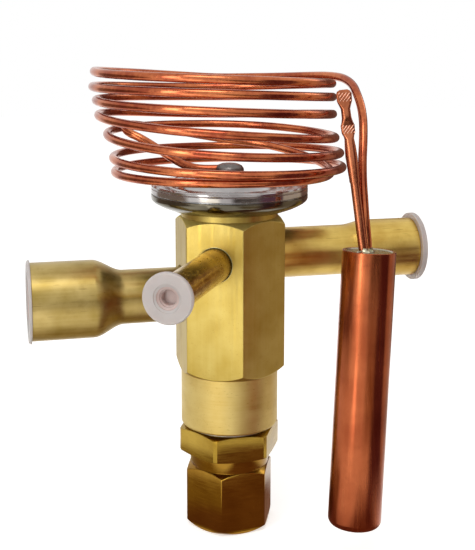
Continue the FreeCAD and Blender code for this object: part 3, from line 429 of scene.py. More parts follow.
fillet_alloy = worked_metal(
    "silver_brazing_alloy", "#B5AE80", "#8A8560", "#4A4A3C", 0.24, (1.2, 1.2, 1.2), 0.003, 2.0)
for name, radius, place in (
        ("inlet_brazing", INLET_NECK, INLET_PLACE), ("outlet_brazing", OUTLET_NECK, OUTLET_PLACE),
        ("equaliser_brazing", EQUALISER_RADIUS, EQUALISER_PLACE)):
    ring = brazed_ring(radius, GROOVE_FLOOR, FILLET_SIZE, 2 * FILLET_SIZE, FILLET_LAP, FILLET_STEPS)
    shown(name, laid(ring, place), "tube_brass", None, fillet_alloy)


# Transport plugs
# Polyethylene plugs, injection moulded, that keep dirt out of the tubes. Each has a flange
# that covers the tube's end, a stepped mouth and a hollow cup that grips the bore.
PLUG_WALL = 1.4
RUN_FIT = 0.05
PLUG_EDGE = 0.07
LEAD_IN = (0.4, 0.6)
FLANGE_EASE = (0.25, 0.3)
MOUTH_STEPS = ((1.45, 0.0), (1.4, 0.2), (0.85, 0.35), (0.8, 0.6), (0.35, 0.75), (0.3, 1.1), (0.0, 1.3))
CUP_REACH = 0.95
CUP_LOWEST = 0.7
PLUG_CLOUD = 3.5
PLUG_GRAIN = 0.5


def milky_plastic(name, milk, shade):
    """Polyethylene: light goes a little way in, and the skin has a soft moulded grain."""
    plastic, tree, surface = new_material(name)
    surface["IOR"].default_value = 1.51
    surface["Subsurface Weight"].default_value = 0.6
    surface["Subsurface Radius"].default_value = (0.003, 0.0022, 0.002)
    surface["Subsurface Scale"].default_value = 1.0
    surface["Transmission Weight"].default_value = 0.1
    place = add_node(tree, "ShaderNodeTexCoord").outputs["Object"]
    cloud, grain = [
        add_node(
            tree, "ShaderNodeTexNoise", {"Scale": 1.0 / (size * MM), "Detail": detail}, {"Vector": place})
        for size, detail in ((PLUG_CLOUD, 3.0), (PLUG_GRAIN, 2.0))]
    colour = add_node(
        tree, "ShaderNodeMix", {"data_type": "RGBA", 6: linear(shade), 7: linear(milk)}, {0: cloud})
    tree.links.new(colour.outputs[2], surface["Base Color"])
    matt = add_node(tree, "ShaderNodeMapRange", {"To Min": 0.32, "To Max": 0.5}, {"Value": cloud})
    tree.links.new(matt.outputs[0], surface["Roughness"])
    relief = add_node(tree, "ShaderNodeBump", {"Strength": 0.3, "Distance": 0.02 * MM}, {"Height": grain})
    tree.links.new(relief.outputs[0], surface["Normal"])
    return plastic


plug_skin = milky_plastic("moulded_polyethylene", "#CCC5C1", "#B9AFAB")
# Inside the cup the plastic is painted warmer and lighter. This is painted light, standing in for the
# light that comes through the wall from the brass round it.
plug_cup_painted_light = milky_plastic("moulded_polyethylene_cup_painted_light", "#D8C2BC", "#C6ACA4")
# The cup's floor stands high in the equaliser's plug, which is moulded nearly solid.
for name, node, body, bore, end, flange, thickness, insert, floor_rise, place in (
        ("inlet_moulded_plug", "inlet_plug", "plug_inlet",
         INLET_BORE, INLET_END, 8.9, 1.5, 8.0, 1.3, INLET_PLACE),
        ("outlet_moulded_plug", "outlet_plug", "plug_outlet",
         OUTLET_BORE, OUTLET_END, 10.35, 0.7, 9.0, 1.3, OUTLET_PLACE),
        ("equaliser_moulded_plug", "equalizer_plug", "plug_equalizer",
         EQUALISER_BORE, EQUALISER_END, 5.8, 1.2, 6.5, 4.8, EQUALISER_PLACE)):
    grip = bore - RUN_FIT
    cup = grip - PLUG_WALL
    face = end + thickness
    root = end - insert
    plug = spun(
        [(0, root), (grip - LEAD_IN[0], root), (grip, root + LEAD_IN[1]), (grip, end),
         (flange, end), (flange, face - FLANGE_EASE[1]), (flange - FLANGE_EASE[0], face)]
        + [(cup + out, face - down) for out, down in MOUTH_STEPS]
        + [(cup, root + floor_rise), (0, root + floor_rise)])
    # Faces above CUP_LOWEST and within CUP_REACH of the cup's wall take the cup's painted light.
    for side in plug.polygons:
        off_axis = math.hypot(side.center.x, side.center.y)
        inside = side.center.z > (root + CUP_LOWEST) * MM and off_axis < (cup + CUP_REACH) * MM
        side.material_index = int(inside)
    plug_mesh = laid(with_eased_edges(plug, PLUG_EDGE), place)
    kept = [side.material_index for side in plug_mesh.polygons]
    shown(name, plug_mesh, "plug_plastic", node, plug_skin, plug_cup_painted_light, body=body)
    plug_mesh.polygons.foreach_set("material_index", kept)


# Diaphragm head
# Two halves pressed from stainless sheet, with the diaphragm between them, welded round
# the rim. The press leaves a polished skin and a fine step below the upper edge.
HEAD_SEGMENTS = 160
BOSS_SEGMENTS = 64
HEAD_EASE = 0.06
DOME_TOP = 92.05
CUP_OUTLINE = (
    (8.2, 82.95), (12.6, 82.95), (14.7, 83.35), (17.0, 84.2), (18.4, 84.9), (19.2, 85.38), (19.7, 85.85),
    (19.9, 86.35), (19.9, 87.25), (19.75, 87.4), (17.0, 87.4), (12.4, 85.05), (9.1, 83.9), (8.2, 83.9))
COVER_OUTLINE = (
    (19.75, 87.55), (19.9, 87.7), (19.9, 88.75), (19.72, 88.88), (19.72, 89.0), (19.9, 89.12),
    (19.85, 89.5), (19.5, 89.75), (16.9, 89.75), (16.1, 89.9), (15.0, 90.62), (13.7, 91.1), (9.0, 91.65),
    (4.7, DOME_TOP), (2.4, DOME_TOP), (2.4, 90.95), (12.4, 90.05), (14.9, 87.85), (17.0, 87.55))
BOSS_OUTLINE = (
    (0, 90.95), (2.4, 90.95), (2.4, DOME_TOP), (3.7, DOME_TOP), (3.7, 93.4), (3.55, 93.8), (3.15, 94.3),
    (2.6, 94.6), (1.9, 94.83), (1.0, 94.93), (0, 94.95))

# Polished stainless: nearly a mirror. Its marks are too fine to show, so the grain here is
# the slow waver that pressing leaves in the sheet.
head_steel = worked_metal(
    "pressed_stainless", "#B8B4B2", "#928D8C", "#6C6668", 0.12, (6.0, 6.0, 3.0), 0.0006, 9.0, 0.04, 0.1)
# The cup is a darker, olive copy of the stainless. This is painted shade under the head's rim, with a
# painted reflection of the brass body below it.
cup_steel_painted_shade = worked_metal(
    "stainless_painted_shade", "#6E6858", "#4E493E", "#343029", 0.15, (6.0, 6.0, 3.0), 0.0006, 9.0, 0.04, 0.1)
# The boss is a steel plug welded into the cover, tinted dark grey by the heat.
boss_steel = worked_metal(
    "heat_tinted_steel", "#77716D", "#504B4C", "#33302F", 0.36, (2.0, 2.0, 0.6), 0.004, 3.0)
for name, node, outline, segments, steel, slot in (
        ("head_pressed_cup", "head_cup", CUP_OUTLINE, HEAD_SEGMENTS, cup_steel_painted_shade, "head_steel"),
        ("head_pressed_cover", "head_cover", COVER_OUTLINE, HEAD_SEGMENTS, head_steel, "head_steel"),
        ("head_dark_boss", "head_boss", BOSS_OUTLINE, BOSS_SEGMENTS, boss_steel, "boss_steel")):
    shown(name, with_eased_edges(spun(outline, segments), HEAD_EASE), slot, node, steel)


# Works inside the body
# The diaphragm, pad, rod, seal, orifice, pin, spring and stem aren't seen until the valve
# is opened. They are turned from brass and stainless bar, with rubber and soft metal rings.
RUBBER_GRAIN = 0.3


def dressed(nodes, material):
    """Gives the solids of CAD nodes, whose shapes are right as they are, a material."""
    for node in nodes:
        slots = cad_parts[node].data.materials
        slots.clear()
        slots.append(material)


# Hard stainless: clean and grey, with fine marks across the axis and no tarnish.
spring_steel = worked_metal(
    "hard_stainless", "#B9BABC", "#8D8F93", "#6C6D70", 0.25, (3.0, 3.0, 0.4), 0.002, 5.0)
# Turned brass that no hand has touched: a clear yellow, with fine feed marks.
inner_brass = worked_metal(
    "turned_inner_brass", "#DDBB6C", "#BE9848", "#8F6E30", 0.28, (4.0, 4.0, 0.3), 0.003, 5.0)
# Moulded nitrile rubber: black and matt, with a fine grain that shows only close up.
seal_rubber, tree, surface = new_material("nitrile_rubber")
surface["IOR"].default_value = 1.52
place = add_node(tree, "ShaderNodeTexCoord").outputs["Object"]
grain = add_node(
    tree, "ShaderNodeTexNoise", {"Scale": 1.0 / (RUBBER_GRAIN * MM), "Detail": 3.0}, {"Vector": place})
colour = add_node(
    tree, "ShaderNodeMix", {"data_type": "RGBA", 6: linear("#161616"), 7: linear("#262625")}, {0: grain})
tree.links.new(colour.outputs[2], surface["Base Color"])
matt = add_node(tree, "ShaderNodeMapRange", {"To Min": 0.5, "To Max": 0.7}, {"Value": grain})
tree.links.new(matt.outputs[0], surface["Roughness"])

dressed(("diaphragm", "push_rod", "orifice_seat", "valve_pin"), spring_steel)
dressed(("pressure_pad", "seal_retainer", "pin_carrier", "spring_seat", "adjusting_stem"), inner_brass)
dressed(("rod_seal", "stem_ring"), seal_rubber)


# Bonnet nut, seal cap and their gaskets
# The nut closes the spring chamber and the cap covers the adjusting stem. Both are turned
# from hexagon brass bar and left smooth, and handling has deepened them to a browner gold.
NUT_BAR = {
    "flats": 23.2, "corner_deg": 0.6, "corner_reach": 13.1,
    "low_crown": ((11.2, 19.8), (13.1, 20.3)), "high_crown": ((11.35, 26.6), (13.1, 26.0)),
    "turned": (
        (9.0, 26.6), (9.0, 35.4), (5.1, 35.4), (5.1, 31.0), (3.05, 31.0), (3.05, 11.5), (6.9, 11.5),
        (7.3, 11.9), (7.3, 19.0), (7.9, 19.3), (7.9, 20.5))}
CAP_BAR = {
    "flats": 20.5, "corner_deg": 6.6, "corner_round": 0.35,
    "low_crown": ((9.95, 0.0), (11.64, 1.3)), "high_crown": ((10.15, 16.3), (11.64, 15.3)),
    "turned": (
        (10.15, 16.45), (10.2, 16.6), (10.2, 19.5), (9.95, 19.8), (7.95, 19.8), (7.95, 9.7),
        (6.95, 9.7), (6.95, 2.2), (0, 2.2), (0, 0.0))}
THREAD_PITCH = 1.5
THREAD_TURNS = 4.4
THREAD_FROM = 12.3
THREAD_MIDDLE = 7.35
THREAD_SECTION = 0.54
THREAD_STEPS = 48

# Turned brass: feed marks round the axis, 0.25 mm apart, drawn coarser at 0.4 mm to show.
nut_brass = worked_metal(
    "turned_brass_nut", "#AC8E3C", "#94752A", "#74561E", 0.2, (5.0, 5.0, 0.4), 0.001, 8.0)
# The cap is darker still. Its colour is partly tarnish and partly painted shade, for the dark reflection
# it takes so near the floor.
cap_brass_painted_shade = worked_metal(
    "turned_brass_cap_painted_shade", "#A07A2E", "#8A6220", "#704C16", 0.18, (5.0, 5.0, 0.4), 0.001, 8.0)
# Soft metal, stamped into rings: pale grey and rather matt.
gasket_metal = worked_metal(
    "soft_metal_ring", "#BDBBB6", "#96948E", "#6E6C66", 0.4, (2.0, 2.0, 0.2), 0.004, 3.0)
shown("bonnet_turned_nut", hexagon_bar(**NUT_BAR), "nut_brass", "bonnet_nut", nut_brass)
shown("seal_turned_cap", hexagon_bar(**CAP_BAR), "nut_brass", "seal_cap", cap_brass_painted_shade, body="cap")
dressed(("bonnet_gasket", "cap_gasket"), gasket_metal)


def grown(tree, sizes):
    """The mesh that a Geometry Nodes tree makes with these values in its named inputs."""
    holder = added("grown", bpy.data.meshes.new("grown"))
    grower = holder.modifiers.new("grow", "NODES")
    grower.node_group = tree
    for socket in tree.interface.items_tree:
        if socket.in_out == "INPUT" and socket.name in sizes:
            grower[socket.identifier] = sizes[socket.name]
    return settled(holder)


def new_tree(name, inputs):
    """An empty Geometry Nodes tree with named inputs, and the outputs of its input node."""
    tree = bpy.data.node_groups.new(name, "GeometryNodeTree")
    tree.interface.new_socket("Geometry", in_out="INPUT", socket_type="NodeSocketGeometry")
    for label, kind in inputs:
        tree.interface.new_socket(label, in_out="INPUT", socket_type="NodeSocket" + kind)
    tree.interface.new_socket("Geometry", in_out="OUTPUT", socket_type="NodeSocketGeometry")
    return tree, add_node(tree, "NodeGroupInput").outputs


def end_tree(tree, shape, material):
    """Ends a Geometry Nodes tree: what is repeated is made real, and the material is set."""
    real = add_node(tree, "GeometryNodeRealizeInstances", {}, {"Geometry": shape})
    coated = add_node(tree, "GeometryNodeSetMaterial", {"Material": material}, {"Geometry": real})
    add_node(tree, "NodeGroupOutput", {}, {"Geometry": coated})


# The thread that the cap screws onto: one sharp ridge that climbs the neck of the nut.
ridge_tree, ridge_in = new_tree(
    "thread_ridge", (("Turns", "Float"), ("Rise", "Float"), ("Radius", "Float"), ("Section", "Float")))
climb = add_node(
    ridge_tree, "GeometryNodeCurveSpiral", {"Resolution": THREAD_STEPS},
    {"Rotations": ridge_in["Turns"], "Start Radius": ridge_in["Radius"],
     "End Radius": ridge_in["Radius"], "Height": ridge_in["Rise"]})
upright = add_node(ridge_tree, "GeometryNodeSetCurveNormal", {"mode": "Z_UP"}, {"Curve": climb})
diamond = add_node(
    ridge_tree, "GeometryNodeCurvePrimitiveCircle", {"Resolution": 4}, {"Radius": ridge_in["Section"]})
ridge = add_node(
    ridge_tree, "GeometryNodeCurveToMesh", {"Fill Caps": True},
    {"Curve": upright, "Profile Curve": diamond})
flat_ridge = add_node(
    ridge_tree, "GeometryNodeSetShadeSmooth", {"Shade Smooth": False}, {"Geometry": ridge})
end_tree(ridge_tree, flat_ridge, nut_brass)
ridge_mesh = grown(ridge_tree, {
    "Turns": THREAD_TURNS, "Rise": THREAD_TURNS * THREAD_PITCH * MM, "Radius": THREAD_MIDDLE * MM,
    "Section": THREAD_SECTION * MM})
ridge_mesh.transform(Matrix.Translation((0, 0, THREAD_FROM * MM)))
shown("bonnet_neck_thread", ridge_mesh, "nut_brass", None, nut_brass)


# Sensing bulb
# A can drawn from copper tube, with a rounded foot and an end disc brazed in at the head.
# It clamps to the suction line, and handling has browned it.
LAYOUT_TURN_DEG = -13.4
BULB_RADIUS = 6.35
BULB_LENGTH = 66.2
BULB_WALL = 0.8
BULB_FLOOR = 1.2
BULB_FOOT_EDGE = 1.7
BULB_EDGE = 0.12
BULB_STEPS = 8
BULB_HEAD = (32.9, -21.3, -15.4)
BULB_LEAN = (3.0, 4.5, 65.0)
POOL_DEEP = 0.5
POOL_LIP = 0.05
POOL_DEPTH = 0.22
POOL_SLOPE = 0.35
COLLAR_RISE = 1.0
COLLAR_SPREAD = 0.95
COLLAR_LAP = 0.2
COLLAR_STEPS = 6
COLLAR_SEGMENTS = 40
CAPILLARY_RADIUS = 1.05
CAPILLARY_FOOT = (32.6, -21.0, -16.8)
CHARGE_FOOT = (31.4, -23.3, -16.7)


def layout_place(point):
    """A (right, away, up from the dome) place of the capillary's layout, in metres."""
    turn = math.radians(LAYOUT_TURN_DEG)
    right, away, up = point
    return Vector((
        right * math.cos(turn) - away * math.sin(turn),
        right * math.sin(turn) + away * math.cos(turn), DOME_TOP + up)) * MM


def stood_on(mesh, foot, along):
    """Moves a shape made along +Z to its foot, leaned the shortest way."""
    lean = Vector((0, 0, 1)).rotation_difference(along).to_matrix().to_4x4()
    mesh.transform(Matrix.Translation(foot) @ lean)
    return mesh


bulb_head = layout_place(BULB_HEAD)
bulb_low = layout_place([high - lean for high, lean in zip(BULB_HEAD, BULB_LEAN)])
bulb_along = (bulb_head - bulb_low).normalized()
bulb_foot = bulb_head - bulb_along * BULB_LENGTH * MM
bulb_bore = BULB_RADIUS - BULB_WALL
# Drawn copper: long streaks up the can, which is browned unevenly by handling.
bulb_copper = worked_metal(
    "drawn_copper_can", "#B2623C", "#92482A", "#702E20", 0.23, (1.1, 1.1, 26.0), 0.001, 11.0)
can_outline = [(0, 0)]
for step in range(BULB_STEPS + 1):
    turn = math.pi / 2 * step / BULB_STEPS
    reach = BULB_RADIUS - BULB_FOOT_EDGE + BULB_FOOT_EDGE * math.sin(turn)
    can_outline.append((reach, BULB_FOOT_EDGE * (1 - math.cos(turn))))
can_outline += [
    (BULB_RADIUS, BULB_LENGTH), (bulb_bore, BULB_LENGTH), (bulb_bore, BULB_FLOOR), (0, BULB_FLOOR)]
can_mesh = stood_on(with_eased_edges(spun(can_outline), BULB_EDGE), bulb_foot, bulb_along)
shown("bulb_drawn_can", can_mesh, "bulb_copper", "sensing_bulb", bulb_copper)
dressed(("bulb_end",), bulb_copper)

# Silver brazing alloy that ran over the end disc and climbed the two tubes a little way.
pool_alloy = worked_metal(
    "silver_alloy_pool", "#B9B49A", "#8E8A6E", "#6A6650", 0.24, (1.5, 1.5, 1.5), 0.006, 2.5)
pool_top = BULB_LENGTH - POOL_DEPTH
pool_foot = BULB_LENGTH - POOL_DEEP
pool = spun([
    (0, pool_foot), (bulb_bore, pool_foot), (bulb_bore, BULB_LENGTH - POOL_LIP),
    (bulb_bore - POOL_SLOPE, pool_top), (0, pool_top)])
shown("bulb_brazed_pool", stood_on(pool, bulb_foot, bulb_along), "bulb_copper", None, pool_alloy)
for name, seat in (("capillary_brazed_collar", CAPILLARY_FOOT), ("charging_brazed_collar", CHARGE_FOOT)):
    place = layout_place(seat)
    place += bulb_along * ((bulb_foot + bulb_along * pool_top * MM - place).dot(bulb_along))
    collar = brazed_ring(
        CAPILLARY_RADIUS, 0, COLLAR_SPREAD, COLLAR_RISE, COLLAR_LAP, COLLAR_STEPS, COLLAR_SEGMENTS)
    shown(name, stood_on(collar, place, bulb_along), "bulb_copper", None, pool_alloy)


# Capillary
# One soft copper tube, 1.45 m long and drawn to 2.1 mm. It leaves the bulb, up to 1 mm nearer
# to the charging tube than its CAD solid, is wound by hand into loose turns above the head,
# and dips down into the boss.
CAPILLARY_SIDES = 20
LINE_STEPS = 6
# Each turn's heights at its left, front, right and back.
COIL_HEIGHTS = (
    (26.1, 25.1, 22.9, 20.8), (22.3, 21.9, 19.6, 18.1), (19.0, 17.9, 15.3, 13.2),
    (15.3, 12.8, 9.5, 10.5), (10.6, 7.8, 5.6, 4.4), (4.6, 3.5, 2.1, 0.9), (1.0, 1.4, 1.2, 6.5))
COIL_RADII = (29.5, 30.0, 29.5, 29.5, 28.9, 29.0, 28.6, 24.3)
COIL_CENTRES = (-4.1, -4.1, -3.8, -3.3, -1.8, -0.3, -0.3, -1.6)
COIL_STEPS = 4
BULB_LEAD = (
    CAPILLARY_FOOT, (32.4, -20.9, -12.8), (31.9, -20.6, -8.0), (31.6, -19.9, -3.6), (31.4, -18.6, 1.0),
    (31.5, -16.8, 5.5), (31.9, -14.4, 10.1), (32.2, -11.4, 14.2), (32.1, -8.2, 17.4), (31.5, -4.6, 20.4),
    (30.7, -0.4, 22.7), (28.9, 4.6, 24.1), (25.9, 10.6, 24.5), (21.5, 17.4, 24.3), (14.7, 23.9, 23.9),
    (5.8, 28.9, 23.6), (-3.9, 30.9, 23.5), (-14.0, 29.1, 24.1), (-23.7, 22.8, 24.9), (-30.8, 12.6, 25.6))
HEAD_LEAD = (
    (-13.7, 22.4, 8.9), (-21.2, 15.8, 10.8), (-25.3, 9.6, 11.9), (-26.7, 4.2, 11.7), (-25.6, 0.4, 10.7),
    (-22.4, -1.1, 9.3), (-18.8, -1.0, 7.1), (-15.1, -0.7, 4.6), (-11.5, -0.4, 2.5), (-7.6, -0.1, 1.5),
    (-1.8, 0.0, 1.4))


def eased_between(values, share):
    """Smooth step between the two middle ones of four values."""
    before, low, high, after = values
    square = share * share
    cube = square * share
    return (
        (2 * cube - 3 * square + 1) * low + (cube - 2 * square + share) * (high - before) / 2
        + (3 * square - 2 * cube) * high + (cube - square) * (after - low) / 2)


quarters = []
for turn, heights in enumerate(COIL_HEIGHTS):
    for quarter, height in enumerate(heights):
        share = quarter / 4
        radius, centre = [
            row[turn] * (1 - share) + row[turn + 1] * share for row in (COIL_RADII, COIL_CENTRES)]
        quarters.append((height, radius, centre))
coil = []
final = len(quarters) - 1
for index in range(final):
    around = [quarters[min(max(index + shift, 0), final)] for shift in (-1, 0, 1, 2)]
    for step in range(COIL_STEPS):
        share = step / COIL_STEPS
        height, radius, centre = [eased_between(values, share) for values in zip(*around)]
        angle = math.radians(90 * (index + share) - 90)
        coil.append((centre + radius * math.sin(angle), -radius * math.cos(angle), height))
coil.append(quarters[final][::-1])
route = [layout_place(point) for point in BULB_LEAD + tuple(coil) + HEAD_LEAD]

centre_line = bpy.data.curves.new("capillary_line", "CURVE")
centre_line.dimensions = "3D"
centre_line.resolution_u = LINE_STEPS
bend = centre_line.splines.new("BEZIER")
bend.bezier_points.add(len(route) - 1)
for index, point in enumerate(route):
    before = route[max(index - 1, 0)]
    after = route[min(index + 1, len(route) - 1)]
    along = (after - before).normalized()
    knot = bend.bezier_points[index]
    knot.co = point
    knot.handle_left = point - along * (point - before).length / 3
    knot.handle_right = point + along * (after - point).length / 3

# Drawn copper tube: bright, with fine marks and a warm tarnish in soft clouds.
capillary_copper = worked_metal(
    "drawn_copper_tube", "#CC784C", "#9A4A32", "#6C2C22", 0.19, (0.9, 0.9, 0.9), 0.001, 10.0)
sweep_tree, sweep_in = new_tree(
    "tube_along_line", (("Line", "Object"), ("Tube radius", "Float"), ("Sides", "Int")))
line = add_node(sweep_tree, "GeometryNodeObjectInfo", {}, {"Object": sweep_in["Line"]})
section = add_node(
    sweep_tree, "GeometryNodeCurvePrimitiveCircle", {},
    {"Radius": sweep_in["Tube radius"], "Resolution": sweep_in["Sides"]})
tube = add_node(
    sweep_tree, "GeometryNodeCurveToMesh", {"Fill Caps": True},
    {"Curve": line.outputs["Geometry"], "Profile Curve": section})
smooth = add_node(sweep_tree, "GeometryNodeSetShadeSmooth", {}, {"Geometry": tube})
end_tree(sweep_tree, smooth, capillary_copper)


def swept(name, curve, radius):
    """The mesh of a tube or wire of this radius along a curve."""
    holder = added(name, curve)
    mesh = grown(sweep_tree, {"Line": holder, "Tube radius": radius * MM, "Sides": CAPILLARY_SIDES})
    bpy.data.objects.remove(holder)
    return mesh


capillary_mesh = swept("capillary_line", centre_line, CAPILLARY_RADIUS)
shown("capillary_wound_tube", capillary_mesh, "capillary_copper", "capillary_tube", capillary_copper)


# Superheat spring
# Five turns of hard-drawn stainless wire between the spring seat and the pin's cup. Each
# half is a piece of its own.
SPRING_WIRE_RADIUS = 0.75
SPRING_MEAN_RADIUS = 4.8
SPRING_TURNS = 5
SPRING_STEPS = 24

spring_low, spring_high = (corner[2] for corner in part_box("superheat_spring"))
spring_rise = spring_high - spring_low - 2 * SPRING_WIRE_RADIUS * MM
spring_count = SPRING_TURNS * SPRING_STEPS
spring_places = []
for index in range(spring_count + 1):
    angle = 2 * math.pi * index / SPRING_STEPS
    rise = spring_rise * index / spring_count
    spring_places.append((
        SPRING_MEAN_RADIUS * math.cos(angle) * MM, SPRING_MEAN_RADIUS * math.sin(angle) * MM,
        spring_low + SPRING_WIRE_RADIUS * MM + rise, 1))
middle_place = len(spring_places) // 2
for name, places, body, end in (
        ("superheat_spring_lower", spring_places[:middle_place + 1], "spring_nut", spring_low),
        ("superheat_spring_upper", spring_places[middle_place:], "pin_group", spring_high)):
    helix = bpy.data.curves.new(name, "CURVE")
    helix.dimensions = "3D"
    wire = helix.splines.new("POLY")
    wire.points.add(len(places) - 1)
    for knot, place in zip(wire.points, places):
        knot.co = place
    half_spring = swept(name + "_line", helix, SPRING_WIRE_RADIUS)
    half_spring.materials.clear()
    half_spring.materials.append(spring_steel)
    piece = added(name, half_spring)
    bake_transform(piece)
    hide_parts("superheat_spring")


# Charging tube and its crimped sleeve
# The bulb is filled through a thin tube. A sleeve over its end is then pinched flat in two
# places with serrated jaws, which seals the charge in and leaves slanting teeth marks.
CHARGE_TOP = (26.4, -19.6, 21.9)
CHARGE_TUBE_LENGTH = 18.0
CRIMP_SIDES = 40
CRIMP_SQUARE = 3.4
CRIMP_TOP = 0.5
TOOTH_COUNT = 6
TOOTH_SPREAD = 3.0
TOOTH_WIDTH = 0.34
TOOTH_HEIGHT = 0.24
TOOTH_LIFT = 0.02
TOOTH_SLANT_DEG = -45
SLEEVE_STATIONS = (
    (17.7, 1.1, 1.1), (17.85, 1.18, 1.18), (21.3, 1.3, 1.3), (23.6, 1.42, 1.42), (26.0, 1.32, 1.32),
    (28.0, 1.12, 1.05), (28.7, 1.25, 0.8), (29.4, 1.6, 0.55), (31.1, 1.68, 0.52), (31.9, 1.35, 0.7),
    (32.9, 1.12, 0.95), (35.0, 1.08, 0.98), (35.9, 1.4, 0.7), (36.8, 1.8, 0.52), (38.5, 1.9, 0.5),
    (39.2, 1.5, 0.4), (39.5, 0.95, 0.22))
CRIMPS = (("lower", 29.2, 31.3), ("upper", 36.6, 38.9))


def rounded_section(wide, thick):
    """Outline of a round tube pinched to wide by thick: an oval that squares up as it flattens."""
    power = 2 + CRIMP_SQUARE * max(0.0, 1 - thick / wide)
    points = []
    for index in range(CRIMP_SIDES):
        angle = 2 * math.pi * index / CRIMP_SIDES
        along_wide, along_thick = math.cos(angle), math.sin(angle)
        points.append((
            wide * math.copysign(abs(along_wide) ** (2 / power), along_wide),
            thick * math.copysign(abs(along_thick) ** (2 / power), along_thick)))
    return points


# The sleeve is browned by the torch. The jaws leave its ridges bare, and their pale colour also paints in
# the highlights that the ridges catch.
sleeve_copper = worked_metal(
    "torched_copper_sleeve", "#B86E4C", "#945034", "#6C3826", 0.24, (0.9, 0.9, 0.9), 0.001, 8.0)
ridge_copper_painted_highlight = worked_metal(
    "bare_copper_ridge_painted_highlight", "#F2C4AC", "#E0A68A", "#B07458", 0.3, (0.9, 0.9, 0.9), 0.001, 4.0)
charge_foot = layout_place(CHARGE_FOOT)
charge_along = (layout_place(CHARGE_TOP) - charge_foot).normalized()
sleeve = bmesh.new()
rings = []
for height, wide, thick in SLEEVE_STATIONS:
    places = rounded_section(wide, thick)
    rings.append([sleeve.verts.new((x * MM, y * MM, height * MM)) for x, y in places])
for low, high in zip(rings, rings[1:]):
    for index in range(CRIMP_SIDES):
        after = (index + 1) % CRIMP_SIDES
        sleeve.faces.new((low[index], low[after], high[after], high[index]))
sleeve.faces.new(rings[0][::-1])
sleeve.faces.new(rings[-1])
sleeve_mesh = stood_on(meshed(sleeve, "sleeve"), charge_foot, charge_along)
shown("charging_crimped_sleeve", sleeve_mesh, "capillary_copper", "charging_stub", sleeve_copper)
charge_rod = spun([
    (0, 0), (CAPILLARY_RADIUS, 0), (CAPILLARY_RADIUS, CHARGE_TUBE_LENGTH), (0, CHARGE_TUBE_LENGTH)],
    CAPILLARY_SIDES)
charge_mesh = stood_on(charge_rod, charge_foot, charge_along)
shown("charging_thin_tube", charge_mesh, "capillary_copper", "charging_tube", sleeve_copper)

# Teeth: ribs at 45 degrees, side by side over each face of a crimp, cut off at its edges.
tooth_tree, tooth_in = new_tree("crimp_teeth", (
    ("Count", "Int"), ("Middle", "Float"), ("Spread", "Float"), ("Rise", "Float"), ("Side", "Float"),
    ("Width", "Float"), ("Height", "Float")))
sums = {socket.name: socket for socket in tooth_in}
sums["number"] = add_node(tooth_tree, "GeometryNodeInputIndex")
for label, operation, *terms in (
        ("half spread", "MULTIPLY", "Spread", 0.5), ("half rise", "MULTIPLY", "Rise", 0.5),
        ("step", "ADD", "number", 0.5), ("share", "DIVIDE", "step", "Count"),
        ("both sizes", "ADD", "Spread", "Rise"), ("off middle", "SUBTRACT", "share", 0.5),
        ("offset", "MULTIPLY", "off middle", "both sizes"),
        ("left edge", "MULTIPLY", "half spread", -1.0), ("drop", "ADD", "half rise", "offset"),
        ("foot", "MULTIPLY", "drop", -1.0), ("left end", "MAXIMUM", "left edge", "foot"),
        ("top", "SUBTRACT", "half rise", "offset"), ("right end", "MINIMUM", "half spread", "top"),
        ("both ends", "ADD", "left end", "right end"), ("across", "MULTIPLY", "both ends", 0.5),
        ("up", "ADD", "across", "offset"), ("level", "ADD", "up", "Middle"),
        ("run", "SUBTRACT", "right end", "left end"), ("length", "MULTIPLY", "run", math.sqrt(2))):
    values = {place: term for place, term in enumerate(terms) if isinstance(term, float)}
    sources = {place: sums[term] for place, term in enumerate(terms) if isinstance(term, str)}
    sums[label] = add_node(tooth_tree, "ShaderNodeMath", {"operation": operation, **values}, sources)
spot = add_node(
    tooth_tree, "ShaderNodeCombineXYZ", {},
    {"X": sums["across"], "Y": tooth_in["Side"], "Z": sums["level"]})
row = add_node(tooth_tree, "GeometryNodePoints", {}, {"Count": tooth_in["Count"], "Position": spot})
stretch = add_node(
    tooth_tree, "ShaderNodeCombineXYZ", {},
    {"X": sums["length"], "Y": tooth_in["Height"], "Z": tooth_in["Width"]})
rib = add_node(tooth_tree, "GeometryNodeMeshUVSphere", {"Segments": 12, "Rings": 6, "Radius": 0.5})
ribs = add_node(
    tooth_tree, "GeometryNodeInstanceOnPoints", {"Rotation": (0, math.radians(TOOTH_SLANT_DEG), 0)},
    {"Points": row, "Instance": rib, "Scale": stretch})
end_tree(tooth_tree, ribs, ridge_copper_painted_highlight)
for crimp, start, end in CRIMPS:
    for face, side in (("front", -1), ("back", 1)):
        teeth = grown(tooth_tree, {
            "Count": TOOTH_COUNT, "Middle": (start + end) / 2 * MM, "Spread": TOOTH_SPREAD * MM,
            "Rise": (end - start) * MM, "Side": side * (CRIMP_TOP + TOOTH_LIFT) * MM,
            "Width": TOOTH_WIDTH * MM, "Height": 2 * TOOTH_HEIGHT * MM})
        for polygon in teeth.polygons:
            polygon.use_smooth = True
        shown(
            crimp + "_crimp_" + face + "_teeth", stood_on(teeth, charge_foot, charge_along),
            "capillary_copper", None, ridge_copper_painted_highlight)


# Floor, light and camera
# The valve stands on a pale floor under a white surround, lit softly from the front left.
# Cards, mats and bright strips round it show only as reflections in its metal.
FLOOR_SIZE = 3.0
FLOOR_PALE = "#F4F3F1"
WHITE = (1, 1, 1, 1)
SEEN_WHITE = 0.55
WORLD_LIGHT = 0.55

half = FLOOR_SIZE / 2
floor_mesh = bpy.data.meshes.new("floor")
floor_corners = [(-half, -half, 0), (half, -half, 0), (half, half, 0), (-half, half, 0)]
floor_mesh.from_pydata(floor_corners, [], [(0, 1, 2, 3)])
floor = added("floor", floor_mesh)
floor_paint, floor_tree, floor_surface = new_material("pale_floor")
floor_surface["Base Color"].default_value = linear(FLOOR_PALE)
floor_surface["Roughness"].default_value = 0.9
floor_surface["Specular IOR Level"].default_value = 0.1


